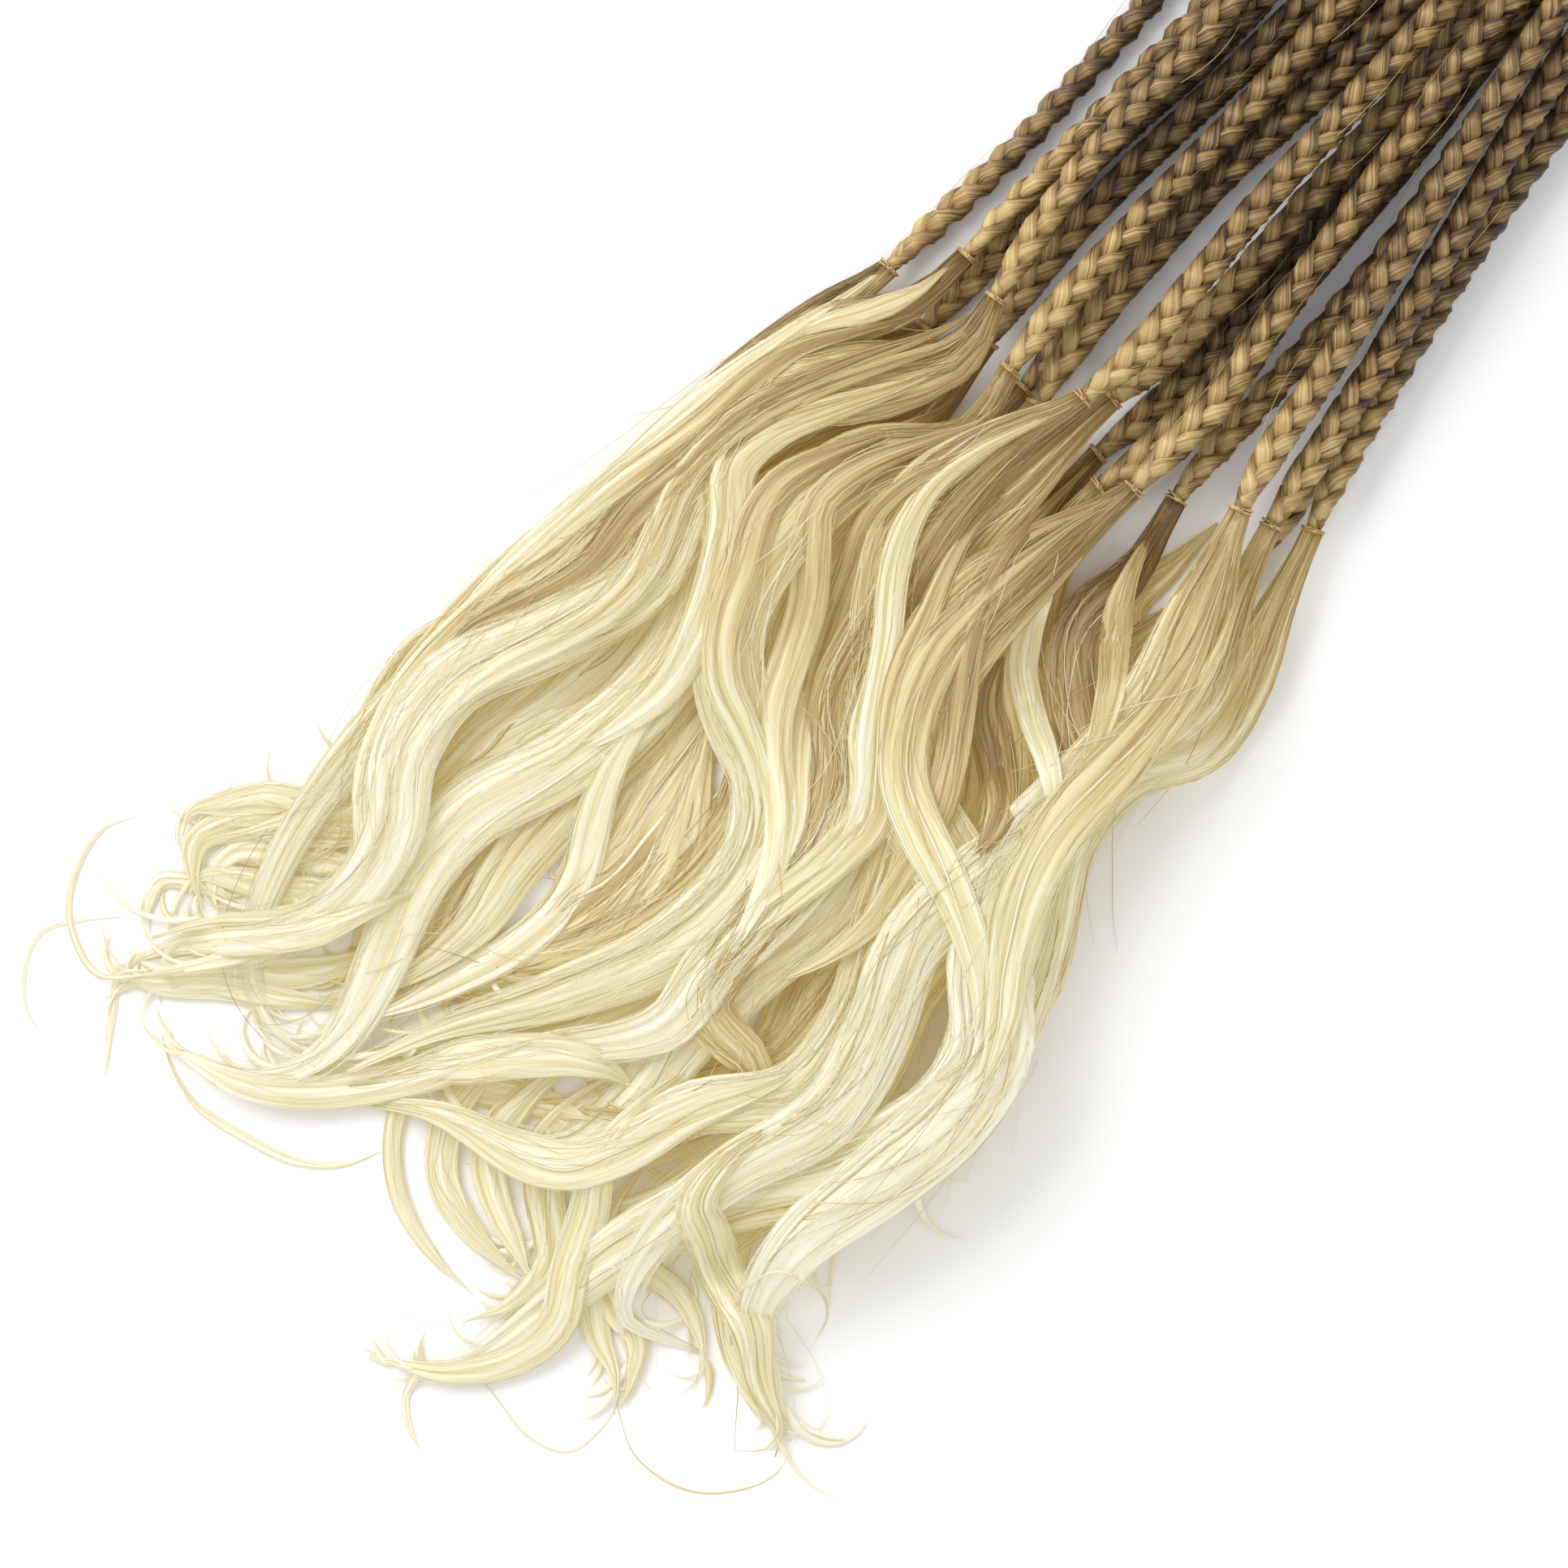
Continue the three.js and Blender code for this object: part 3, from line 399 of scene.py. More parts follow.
tableShift = boxMiddle("tie_01")[:2] - turned([photo["firstTie"]])[0]


def onTable(pixels):
    return turned(pixels) + tableShift


def unit(vectors):
    return vectors / np.maximum(np.linalg.norm(vectors, axis=-1, keepdims=True), 1e-12)


def ease(x, low, high):
    t = np.clip((x - low) / (high - low), 0, 1)
    return t * t * (3 - 2 * t)


def mix(a, b, t):
    return a + (b - a) * t


def lengthsAlong(points):
    steps = np.linalg.norm(np.diff(points, axis=0), axis=1)
    return np.concatenate([[0], np.cumsum(steps)])


def sampled(points, s, places):
    return np.stack([np.interp(places, s, column) for column in points.T], 1)


def atLengths(points, places):
    return sampled(points, lengthsAlong(points), places)


def evenly(points, count):
    return atLengths(points, np.linspace(0, lengthsAlong(points)[-1], count))


# A smooth curve through points, as closely spaced samples from the given point on
def throughPoints(points, first=0, samples=24):
    p = np.array(points, float)
    t = np.concatenate([[0], np.cumsum(np.sqrt(np.linalg.norm(np.diff(p, axis=0), axis=1)))])
    spans = np.diff(t)[:, None]
    slopes = np.diff(p, axis=0) / spans
    inner = (slopes[:-1] * spans[1:] + slopes[1:] * spans[:-1]) / (t[2:] - t[:-2])[:, None]
    m = np.concatenate([slopes[:1], inner, slopes[-1:]])
    out = []
    for i in range(first, len(p) - 1):
        u = np.linspace(0, 1, samples, endpoint=i == len(p) - 2)[:, None]
        span = t[i + 1] - t[i]
        out.append((2 * u**3 - 3 * u**2 + 1) * p[i] + (u**3 - 2 * u**2 + u) * span * m[i]
                   + (3 * u**2 - 2 * u**3) * p[i + 1] + (u**3 - u**2) * span * m[i + 1])
    return np.concatenate(out)


def smoothed(values, times=1):
    v = np.array(values, float)
    for _ in range(times):
        v[1:-1] = (v[:-2] + 2 * v[1:-1] + v[2:]) / 4
    return v


def cadTriangles(name):
    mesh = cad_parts[name].data
    mesh.calc_loop_triangles()
    places = np.empty(len(mesh.vertices) * 3)
    mesh.vertices.foreach_get("co", places)
    corners = np.empty(len(mesh.loop_triangles) * 3, np.int32)
    mesh.loop_triangles.foreach_get("vertices", corners)
    return places.reshape(-1, 3)[corners].reshape(-1, 3, 3)


def treeOf(names):
    corners = np.concatenate([cadTriangles(name) for name in names])
    faces = np.arange(len(corners) * 3).reshape(-1, 3)
    return BVHTree.FromPolygons(corners.reshape(-1, 3).tolist(), faces.tolist())


# Side and up vectors of a route, level across it
def framesOf(route):
    forward = unit(np.gradient(route, axis=-2))
    side = unit(np.cross(np.array([0, 0, 1.0]), forward))
    return forward, side, np.cross(forward, side)


def anglesRound(sides):
    return -math.pi / 2 + 2 * math.pi * np.arange(sides) / sides


# Rings of an oval section, starting underneath: shape tubes, steps, sides, 3
def ringsOf(middles, side, up, halfWide, halfThick, sides):
    angle = anglesRound(sides)
    across = (halfWide[..., None] * np.cos(angle))[..., None]
    above = (halfThick[..., None] * np.sin(angle))[..., None]
    return middles[..., None, :] + side[..., None, :] * across + up[..., None, :] * above


# One mesh from groups of closed tubes, with tone and shade as attributes and a map in millimetres
def woven(name, groups, finish):
    places, tones, shades, loops, starts, maps = [], [], [], [], [], []
    vertexCount = loopCount = 0
    for rings, tone, shade in groups:
        tubes, steps, sides, _ = rings.shape
        turning = np.cross(rings[:, :, 1] - rings[:, :, 0], rings[:, :, 2] - rings[:, :, 1])
        inwards = (turning * np.gradient(rings.mean(2), axis=1)).sum((1, 2)) < 0
        rings[inwards] = np.roll(rings[inwards][:, :, ::-1], 1, axis=2)
        rings[..., 2] = np.maximum(rings[..., 2], 0.01 * mm)
        places.append(rings.reshape(-1, 3))
        tones.append((tone if tone.ndim == 3 else np.repeat(tone[..., None], sides, 2)).reshape(-1))
        shades.append(np.repeat(shade, steps * sides))
        index = (vertexCount + np.arange(tubes * steps * sides)).reshape(tubes, steps, sides)
        here, there = index, np.roll(index, -1, axis=2)
        quads = np.stack([here[:, :-1], there[:, :-1], there[:, 1:], here[:, 1:]], -1).reshape(-1)
        middles = rings.mean(2)
        gaps = np.linalg.norm(np.diff(middles, axis=1), axis=2)
        run = np.concatenate([np.zeros((tubes, 1)), np.cumsum(gaps, 1)], 1) / mm
        girth = np.linalg.norm(rings - np.roll(rings, 1, axis=2), axis=3).sum(2).mean(1) / mm
        around = girth[:, None, None] * np.arange(sides) / sides
        past = girth[:, None, None] * (np.arange(sides) + 1) / sides
        low, high = run[:, :-1, None], run[:, 1:, None]
        full = np.ones((tubes, steps - 1, sides))
        corners = [(around, low), (past, low), (past, high), (around, high)]
        quadMap = np.stack([np.stack([a * full, b * full], -1) for a, b in corners], -2).reshape(-1, 2)
        caps = np.concatenate([index[:, 0, ::-1], index[:, -1]]).reshape(-1)
        capMap = np.zeros((len(caps), 2))
        loops += [quads, caps]
        maps += [quadMap, capMap]
        quadCount, capCount = len(quads) // 4, 2 * tubes
        starts.append(loopCount + 4 * np.arange(quadCount))
        starts.append(loopCount + len(quads) + sides * np.arange(capCount))
        loopCount += len(quads) + len(caps)
        vertexCount += tubes * steps * sides
    mesh = bpy.data.meshes.new(name)
    mesh.vertices.add(vertexCount)
    mesh.vertices.foreach_set("co", np.concatenate(places).ravel())
    mesh.loops.add(loopCount)
    mesh.loops.foreach_set("vertex_index", np.concatenate(loops).astype(np.int32))
    starts = np.concatenate(starts).astype(np.int32)
    mesh.polygons.add(len(starts))
    mesh.polygons.foreach_set("loop_start", starts)
    mesh.polygons.foreach_set("use_smooth", np.ones(len(mesh.polygons), bool))
    mesh.update(calc_edges=True)
    strandMap = mesh.uv_layers.new(name="strandMap")
    strandMap.uv.foreach_set("vector", np.concatenate(maps).astype(np.float32).ravel())
    for label, values in (("tone", tones), ("shade", shades)):
        layer = mesh.attributes.new(label, "FLOAT", "POINT")
        layer.data.foreach_set("value", np.concatenate(values).astype(np.float32))
    mesh.validate()
    mesh.materials.append(finish)
    piece = bpy.data.objects.new(name, mesh)
    bpy.context.collection.objects.link(piece)
    return piece


# Shader maths as sums: a wire is one output of a node
class Wire:
    def __init__(self, tree, socket):
        self.tree = tree
        self.socket = socket

    def maths(self, operation, *others):
        return add(self.tree, "Math", {"operation": operation}, {0: self, **dict(enumerate(others, 1))})

    def __add__(self, other):
        return self.maths("ADD", other)

    def __sub__(self, other):
        return self.maths("SUBTRACT", other)

    def __rsub__(self, other):
        return add(self.tree, "Math", {"operation": "SUBTRACT"}, {0: other, 1: self})

    def __mul__(self, other):
        return self.maths("MULTIPLY", other)

    __radd__ = __add__
    __rmul__ = __mul__


def add(tree, kind, settings=None, sockets=None, output=0):
    node = tree.nodes.new("ShaderNode" + kind)
    for key, value in (settings or {}).items():
        if key == "stops":
            ramp = node.color_ramp
            while len(ramp.elements) < len(value):
                ramp.elements.new(0.5)
            for element, (place, colour) in zip(ramp.elements, value):
                element.position = place
                element.color = colour
        else:
            setattr(node, key, value)
    for key, value in (sockets or {}).items():
        if isinstance(value, Wire):
            tree.links.new(value.socket, node.inputs[key])
        else:
            node.inputs[key].default_value = value
    return Wire(tree, node.outputs[output])


def paint(red, green, blue):
    linear = [((c / 255 + 0.055) / 1.055) ** 2.4 if c > 10 else c / 255 / 12.92 for c in (red, green, blue)]
    return (*linear, 1)


# Colours from a shaded brown to the tips' pale blonde; the glow is painted light, an emission that stands
# in for light passing through thin hair and lifts its shade to gold
hairFinish = {
    "braid": {
        "tones": [(0.0, paint(56, 39, 17)), (0.16, paint(117, 89, 48)), (0.32, paint(166, 136, 83)),
                  (0.6, paint(212, 188, 130)), (1.0, paint(240, 230, 195))],
        "roughness": 0.4, "streak": 0.9, "bump": 0.6, "acrossScale": 3.4, "paintedGlow": 0.0,
    },
    "loose": {
        "tones": [(0.0, paint(56, 41, 22)), (0.16, paint(90, 70, 41)), (0.32, paint(124, 102, 66)),
                  (0.5, paint(156, 136, 94)), (0.68, paint(184, 172, 128)), (0.85, paint(199, 194, 166)),
                  (1.0, paint(206, 207, 195))],
        "roughness": 0.33, "streak": 0.7, "bump": 0.3, "acrossScale": 3.8, "paintedGlow": 0.37,
    },
}


# Streaks that run along the hair, fine and broad, and what they do to its tone, relief and roughness
streakLook = {
    "fineAlong": 0.04, "broadAlong": 0.025, "broadAcross": 0.3, "noiseRoughness": 0.6, "apart": 61,
    "broadTone": 0.25, "shadeTone": 0.08, "depth": 0.25 * mm, "broadDepth": 0.6, "roughness": 0.25,
    # Tint of the painted glow
    "paintedGlowTint": (1.0, 0.83, 0.49, 1.0),
}


def emptyMaterial(name):
    material = bpy.data.materials.new(name)
    material.use_nodes = True
    material.node_tree.nodes.clear()
    return material


def surfaced(material, shader):
    output = material.node_tree.nodes.new("ShaderNodeOutputMaterial")
    material.node_tree.links.new(shader.socket, output.inputs[0])
    return material


def hairMaterial(name, look):
    material = emptyMaterial(name)
    tree = material.node_tree
    tone = add(tree, "Attribute", {"attribute_name": "tone"}, output=2)
    shade = add(tree, "Attribute", {"attribute_name": "shade"}, output=2)
    fibres = add(tree, "UVMap", {"uv_map": "strandMap"})
    parts = tree.nodes.new("ShaderNodeSeparateXYZ")
    tree.links.new(fibres.socket, parts.inputs[0])
    across, along = Wire(tree, parts.outputs[0]), Wire(tree, parts.outputs[1])

    def streaks(acrossScale, alongScale, detail):
        place = add(tree, "CombineXYZ", {},
                    {0: across * acrossScale, 1: along * alongScale, 2: shade * streakLook["apart"]})
        return add(tree, "TexNoise", {"noise_dimensions": "3D"}, {
            "Vector": place, "Scale": 1.0, "Detail": detail, "Roughness": streakLook["noiseRoughness"]})

    fine = streaks(look["acrossScale"], streakLook["fineAlong"], 4.0)
    broad = streaks(look["acrossScale"] * streakLook["broadAcross"], streakLook["broadAlong"], 1.0)
    tint = tone + (broad - 0.5) * streakLook["broadTone"] + (fine - 0.5) * look["streak"] \
        + (shade - 0.5) * streakLook["shadeTone"]
    colour = add(tree, "ValToRGB", {"stops": look["tones"]}, {0: tint})
    # Painted glow: the hair's colour, tinted gold, is emitted in place of light passing through the hair
    paintedGlowColour = add(tree, "Mix", {"data_type": "RGBA", "blend_type": "MULTIPLY"},
                 {0: 1.0, 6: colour, 7: streakLook["paintedGlowTint"]}, 2)
    relief = add(tree, "Bump", {}, {"Strength": look["bump"], "Distance": streakLook["depth"],
                                    "Height": fine + broad * streakLook["broadDepth"]})
    roughness = look["roughness"] + (0.5 - fine) * streakLook["roughness"]
    shader = add(tree, "BsdfPrincipled", {}, {
        "Base Color": colour, "Roughness": roughness, "Normal": relief, "Specular IOR Level": 0.5,
        "Emission Color": paintedGlowColour, "Emission Strength": look["paintedGlow"],
    })
    return surfaced(material, shader)


braidHair = hairMaterial("braid_hair", hairFinish["braid"])
looseHair = hairMaterial("loose_hair", hairFinish["loose"])
threadLook = {
    "tones": [(0.3, paint(150, 118, 70)), (0.7, paint(206, 176, 122))], "twistScale": 900, "bump": 0.4,
    "depth": 0.1 * mm, "roughness": 0.5,
}


def threadMaterial(look):
    material = emptyMaterial("tie_thread")
    tree = material.node_tree
    place = add(tree, "TexCoord", output=3)
    twist = add(tree, "TexNoise", {}, {"Vector": place, "Scale": look["twistScale"], "Detail": 2.0})
    colour = add(tree, "ValToRGB", {"stops": look["tones"]}, {0: twist})
    relief = add(tree, "Bump", {}, {"Strength": look["bump"], "Distance": look["depth"], "Height": twist})
    shader = add(tree, "BsdfPrincipled", {},
                 {"Base Color": colour, "Roughness": look["roughness"], "Normal": relief})
    return surfaced(material, shader)


threadHair = threadMaterial(threadLook)


# The middle line of a braid from its tie to its head, from slices of its solid
def braidLine(name):
    corners = cadTriangles("braid_" + name)
    low, high = corners[..., 0].min(), corners[..., 0].max()
    step = 2.9 * mm
    ends = np.roll(corners, -1, axis=1)
    middles = []
    for x in np.arange(low + 4 * mm, high - 0.4 * mm, step):
        crosses = (corners[..., 0] - x) * (ends[..., 0] - x) < 0
        a, b = corners[crosses], ends[crosses]
        cut = a + ((x - a[:, 0]) / (b[:, 0] - a[:, 0]))[:, None] * (b - a)
        middles.append((cut.min(0) + cut.max(0)) / 2)
    line = smoothed([boxMiddle("tie_" + name), *middles, [high, *middles[-1][1:]]], 3)
    return throughPoints(evenly(line, int(lengthsAlong(line)[-1] / (1 * mm))), samples=2)


def braidPiece(name, line):
    shape = braidShape
    loopFrom = lengthsAlong(line)[-1] - loopShape["length"]
    end = loopFrom + loopShape["runIn"]
    count = int(end / shape["pitch"] * shape["stepsInPitch"])
    s = np.linspace(0, end, count)
    middles = atLengths(line, s)
    _, side, up = framesOf(middles[::-1])
    side, up = side[::-1], up[::-1]
    twist = math.radians(braidTwist.get(name, 0)) * (1 - ease(s, *shape["untwist"]))
    c, w = np.cos(twist)[:, None], np.sin(twist)[:, None]
    side, up = side * c + up * w, up * c - side * w
    narrowed = loopShape["narrowBy"] * ease(s, loopFrom - loopShape["narrowOver"], loopFrom)
    eased = np.minimum(ease(s, *shape["tieEase"]), 1 - narrowed)
    start = dice.uniform(0, 2 * math.pi)
    stretch = 1 + shape["uneven"] * np.sin(s / shape["unevenOver"] + dice.uniform(*anyPhase))
    theta = start - 2 * math.pi * np.cumsum(np.gradient(s) / (shape["pitch"] * stretch))
    rings, tones, shades = [], [], []
    for strand in range(shape["strands"]):
        t = theta + strand * 2 * math.pi / shape["strands"]
        swing = shape["swing"] * eased * (1 + 0.06 * np.sin(s / (11 * mm) + strand))
        path = middles + side * (swing * np.sin(t))[:, None] \
            - up * (shape["weave"] * eased * np.sin(2 * t))[:, None]
        along = unit(np.gradient(path, axis=0))
        strandSide = unit(side - along * (side * along).sum(1)[:, None])
        strandUp = np.cross(along, strandSide)
        strandUp *= np.sign((strandUp * up).sum(1))[:, None]
        roll = math.pi / 2 * (1 - np.cos(t))
        rc, rs = np.cos(roll)[:, None], np.sin(roll)[:, None]
        flatSide, flatUp = strandSide * rc + strandUp * rs, strandUp * rc - strandSide * rs
        slim = mix(shape["slimEnds"], 1, eased)
        broad = mix(shape["narrow"], shape["broad"], np.sin(2 * t) ** 2) * slim
        thick = shape["thick"] * slim * np.ones(count)
        rings.append(ringsOf(path, flatSide, flatUp, broad, thick, shape["sides"]))
        # Painted light and shade: a strand is lighter where it crowns on top, darker where it dives under
        # the others
        crown = np.maximum(0, -np.sin(2 * t)) - 0.5
        # Braids that lie under others are darkened here as painted shade
        tones.append(shape["tone"] + paintedBraidShade.get(name, 0) + shape["paintedCrownLight"] * crown
                     + shape["tieTone"] * (1 - ease(s, *shape["tieFades"]))
                     + dice.uniform(-shape["toneSpread"], shape["toneSpread"]))
        shades.append(dice.uniform())
    groups = [(np.array(rings), np.array(tones), np.array(shades))]
    groups.append(loopRings(line, loopFrom))
    groups.append(braidFlyaways(middles, side, up))
    piece = woven("braid_hair_" + name, groups, braidHair)
    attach(piece, "root")
    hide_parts("braid_" + name)
    return piece


# The closed crochet loop: hair that goes out along one side, round the head and back along the other
def loopRings(line, loopFrom):
    shape = loopShape
    leg, legSteps, frames = shape["leg"], shape["legSteps"], shape["frames"]
    full = lengthsAlong(line)[-1]
    straight = np.linspace(loopFrom - 3 * mm, full - 2 * leg, legSteps)
    angle = np.linspace(0, math.pi, shape["bendSteps"])[1:-1]
    s = np.concatenate([straight, full - 2 * leg + leg * np.sin(angle), straight[::-1]])
    aside = np.concatenate([np.ones(legSteps), np.cos(angle), -np.ones(legSteps)]) * leg
    pinched = mix(shape["pinched"], 1, ease(s, loopFrom - 2 * mm, loopFrom + 6 * mm))
    middles = atLengths(line, s)
    _, side, up = framesOf(evenly(line, frames))
    at = np.interp(s, np.linspace(0, full, frames), np.arange(frames)).astype(int)
    path = middles + side[at] * (aside * pinched)[:, None]
    along = unit(np.gradient(path, axis=0))
    across = unit(np.cross(up[at], along))
    halfWide, halfThick = leg * 0.98 * np.ones(len(s)), shape["halfThick"] * np.ones(len(s))
    rings = ringsOf(path, across, up[at], halfWide, halfThick, shape["sides"])
    return rings[None], np.full((1, len(s)), braidShape["tone"]), np.array([dice.uniform()])


def braidFlyaways(middles, side, up):
    shape = flyawayShape
    count, steps = shape["count"], shape["steps"]
    paths = []
    for _ in range(count):
        first = dice.integers(4, len(middles) - 30)
        reach = dice.integers(6, 15)
        at = np.linspace(first, first + reach, steps)
        out = dice.uniform(-math.pi * 0.1, math.pi * 1.1)
        far = dice.uniform(*shape["reach"]) * mm * np.sin(np.linspace(0.2, dice.uniform(1.6, 2.9), steps))
        base = sampled(middles, np.arange(len(middles)), at)
        where = at.astype(int)
        aside = (shape["aside"] + far) * math.cos(out) + dice.uniform(-1, 1) * mm * np.linspace(0, 1, steps)
        above = (shape["above"] + far) * math.sin(out)
        paths.append(base + side[where] * aside[:, None] + up[where] * above[:, None])
    tones = dice.uniform(*shape["tones"], (count, 1)) * np.ones(steps)
    return thinHairs(np.array(paths), tones, shape["radius"])


# Single hairs along paths, three-sided and thinning towards their tips
def thinHairs(paths, tones, radius):
    paths[..., 2] = np.maximum(paths[..., 2], 1.5 * radius)
    _, side, up = framesOf(paths)
    steps = paths.shape[1]
    r = radius * np.interp(np.linspace(0, 1, steps), [0, 0.7, 1], [1, 1, 0.3]) * np.ones(paths.shape[:2])
    return ringsOf(paths, side, up, r, r, 3), tones, dice.uniform(0, 1, len(paths))


# Heights at which a straight line down meets the solids, from the top
def castDown(tree, x, y):
    hits, top, most = [], 0.1, 8
    while len(hits) < most:
        place, _, _, _ = tree.ray_cast(Vector((x, y, top)), Vector((0, 0, -1)))
        if place is None:
            break
        hits.append(place.z)
        top = place.z - 1e-5
    return hits


# Height of a lock's middle at each step, from its own solid
def heightsOn(tree, plan, atTie, neck):
    s = lengthsAlong(plan)
    heights, last = np.full(len(plan), np.nan), atTie
    for i, (x, y) in enumerate(plan):
        if s[i] < neck:
            heights[i] = atTie
            continue
        hits = castDown(tree, x, y)
        middles = [(a + b) / 2 for a, b in zip(hits[::2], hits[1::2])]
        if middles:
            last = heights[i] = min(middles, key=lambda z: abs(z - last))
    known = ~np.isnan(heights)
    return smoothed(np.interp(np.arange(len(plan)), np.flatnonzero(known), heights[known]), 3)


def lockWidths(s, lock):
    shape = lockShape
    full = s[-1]
    opened = ease(s, 0, min(shape["opened"], full / 2))
    thinned = ease(s / full, shape["thinFrom"], 1)
    halfWide = mix(shape["neckWide"], shape["wide"] * lock["wide"], opened) / 2
    halfWide = halfWide * mix(1, shape["tip"], thinned)
    halfThick = mix(shape["neckThick"], shape["thick"] * lock["thick"], ease(s, *shape["thickens"])) / 2
    if "waist" in lock:
        place, share = lock["waist"]
        halfWide = halfWide * (1 - share * np.exp(-((s / full - place) / shape["waistReach"]) ** 2))
    return halfWide, halfThick * mix(1, shape["tipThick"], thinned)


# Middle lines that lie on an oval lock: each keeps its place round the oval and wanders a little
def linesOn(route, halfWide, halfThick, angles, slim, kind):
    count = len(angles)
    u = np.linspace(0, 1, len(route))
    _, side, up = framesOf(route)
    phase = dice.uniform(0, 2 * math.pi, (count, 3, 1))
    sway = sum(share * np.sin(2 * math.pi * u * waves + phase[:, i])
               for i, (waves, share) in enumerate(lockSway))
    theta = angles[:, None] + kind["wander"] * sway
    lift = kind["lift"] * slim
    out = (0.5 + 0.5 * np.sin(2 * math.pi * u * 2.1 + phase[:, 1])) * lift * ease(u, 0, 0.14)
    a, b = halfWide + 0 * theta, halfThick + 0 * theta
    middles = route + side * (a * np.cos(theta))[..., None] + up * ((b + out) * np.sin(theta))[..., None]
    normal = side * (b * np.cos(theta))[..., None] + up * (a * np.sin(theta))[..., None]
    for i, stop in enumerate(dice.uniform(*kind["ends"], count)):
        middles[i] = sampled(middles[i], u, u * stop)
        normal[i] = sampled(normal[i], u, u * stop)
    return middles, unit(normal)


# Flat wisps along such lines
def wispRings(middles, normal, halfWide, share, thick, sides):
    u = np.linspace(0, 1, middles.shape[1])
    across = unit(np.cross(normal, unit(np.gradient(middles, axis=1))))
    taper = np.interp(u, [0, 0.06, 0.72, 0.9, 1], [0.35, 1, 1, 0.55, 0.08])
    wide = share[:, None] * mix(halfWide.max(), halfWide, 0.75) * taper
    deep = thick[:, None] * mix(0.7, 1, taper) * taper**0.3
    middles[..., 2] = np.maximum(middles[..., 2], deep * 0.6)
    forward = unit(np.gradient(middles, axis=1))
    return ringsOf(middles, across, np.cross(forward, across), wide, deep, sides)


# A lock's body, folded lengthwise, and how high each of its corners stands in the folds
def foldedRings(route, halfWide, halfThick, sides, slim):
    _, side, up = framesOf(route)
    u = np.linspace(0, 1, len(route))[:, None]
    angle = anglesRound(sides)
    depth = np.zeros((len(route), sides))
    for folds, deep in lockFolds:
        wander = 0.9 * np.sin(2 * math.pi * u * dice.uniform(0.7, 2.4) + dice.uniform(*anyPhase))
        if folds * 3 < sides:
            depth += deep * slim * np.cos(folds * angle + dice.uniform(*anyPhase) + wander)
    depth *= np.interp(u, [0, 0.08, 0.9, 1], [0.3, 1, 1, 0.3])
    across = (halfWide[:, None] + depth) * np.cos(angle)
    above = (halfThick[:, None] + depth) * np.sin(angle)
    rings = route[:, None] + side[:, None] * across[..., None] + up[:, None] * above[..., None]
    return rings, depth / (sum(deep for _, deep in lockFolds) * slim)


# One lock: its body, thin wisps on it, and single hairs over them
def lockGroups(route, halfWide, halfThick, tone, sides, wisps, hairs):
    slim = min(1, halfWide.max() / lockShape["slimUnder"])
    taper = np.interp(np.linspace(0, 1, len(route)), [0, 0.8, 1], [1, 1, 0.12])
    body, ridge = foldedRings(route, halfWide * taper, halfThick * 0.9 * taper, sides, slim)
    # Painted light and shade: the body is lighter on its fold ridges and darker in the folds' valleys
    groups = [(body[None], (tone[:, None] + ridge * lockShape["paintedFoldLight"])[None], dice.uniform(0, 1, 1))]
    angles = np.linspace(0.1, math.pi - 0.1, wisps) + dice.uniform(-0.15, 0.15, wisps)
    middles, normal = linesOn(route, halfWide * 0.97, halfThick * 0.9, angles, slim, wispShape)
    shares = dice.uniform(*wispShape["halfWide"], wisps)
    thick = dice.uniform(*wispShape["halfThick"], wisps) * mm * slim
    flat = wispRings(middles, normal, halfWide, shares, thick, wispShape["sides"])
    groups.append((flat, tone + dice.normal(*wispShape["tone"], (wisps, 1)), dice.uniform(0, 1, wisps)))
    angles = dice.uniform(-0.1, math.pi + 0.1, hairs)
    loose, _ = linesOn(route, halfWide * 1.03, halfThick, angles, slim, hairShape)
    tones = tone[::2] + dice.normal(*hairShape["tone"], (hairs, 1))
    groups.append(thinHairs(loose[:, ::2], tones, hairShape["radius"]))
    return groups


# How far a route's bends stand up, from 0 to 1
def crestsOf(plan):
    forward = unit(np.gradient(plan, axis=0))
    bend = smoothed(np.linalg.norm(np.gradient(forward, axis=0), axis=1), 8)
    return bend / bend.max()


def mainLockGroups(lock, plan, heights, tipTone):
    shape = lockShape
    s = lengthsAlong(plan)
    crest = crestsOf(plan) * ease(s, *shape["crestGrows"])
    halfWide, halfThick = lockWidths(s, lock)
    blonde = 1 - np.exp(-s / lock.get("blonde", shape["blondeLength"]))
    # Painted light and shade: lighter on the crests of the bends, darker between them
    tone = mix(lock["root"], tipTone, blonde) + shape["paintedCrestLight"] * (crest - shape["evenCrest"])
    route = np.column_stack([plan, heights + shape["crest"] * crest])
    return lockGroups(route, halfWide, halfThick, tone, shape["sides"], shape["wisps"], shape["hairs"])


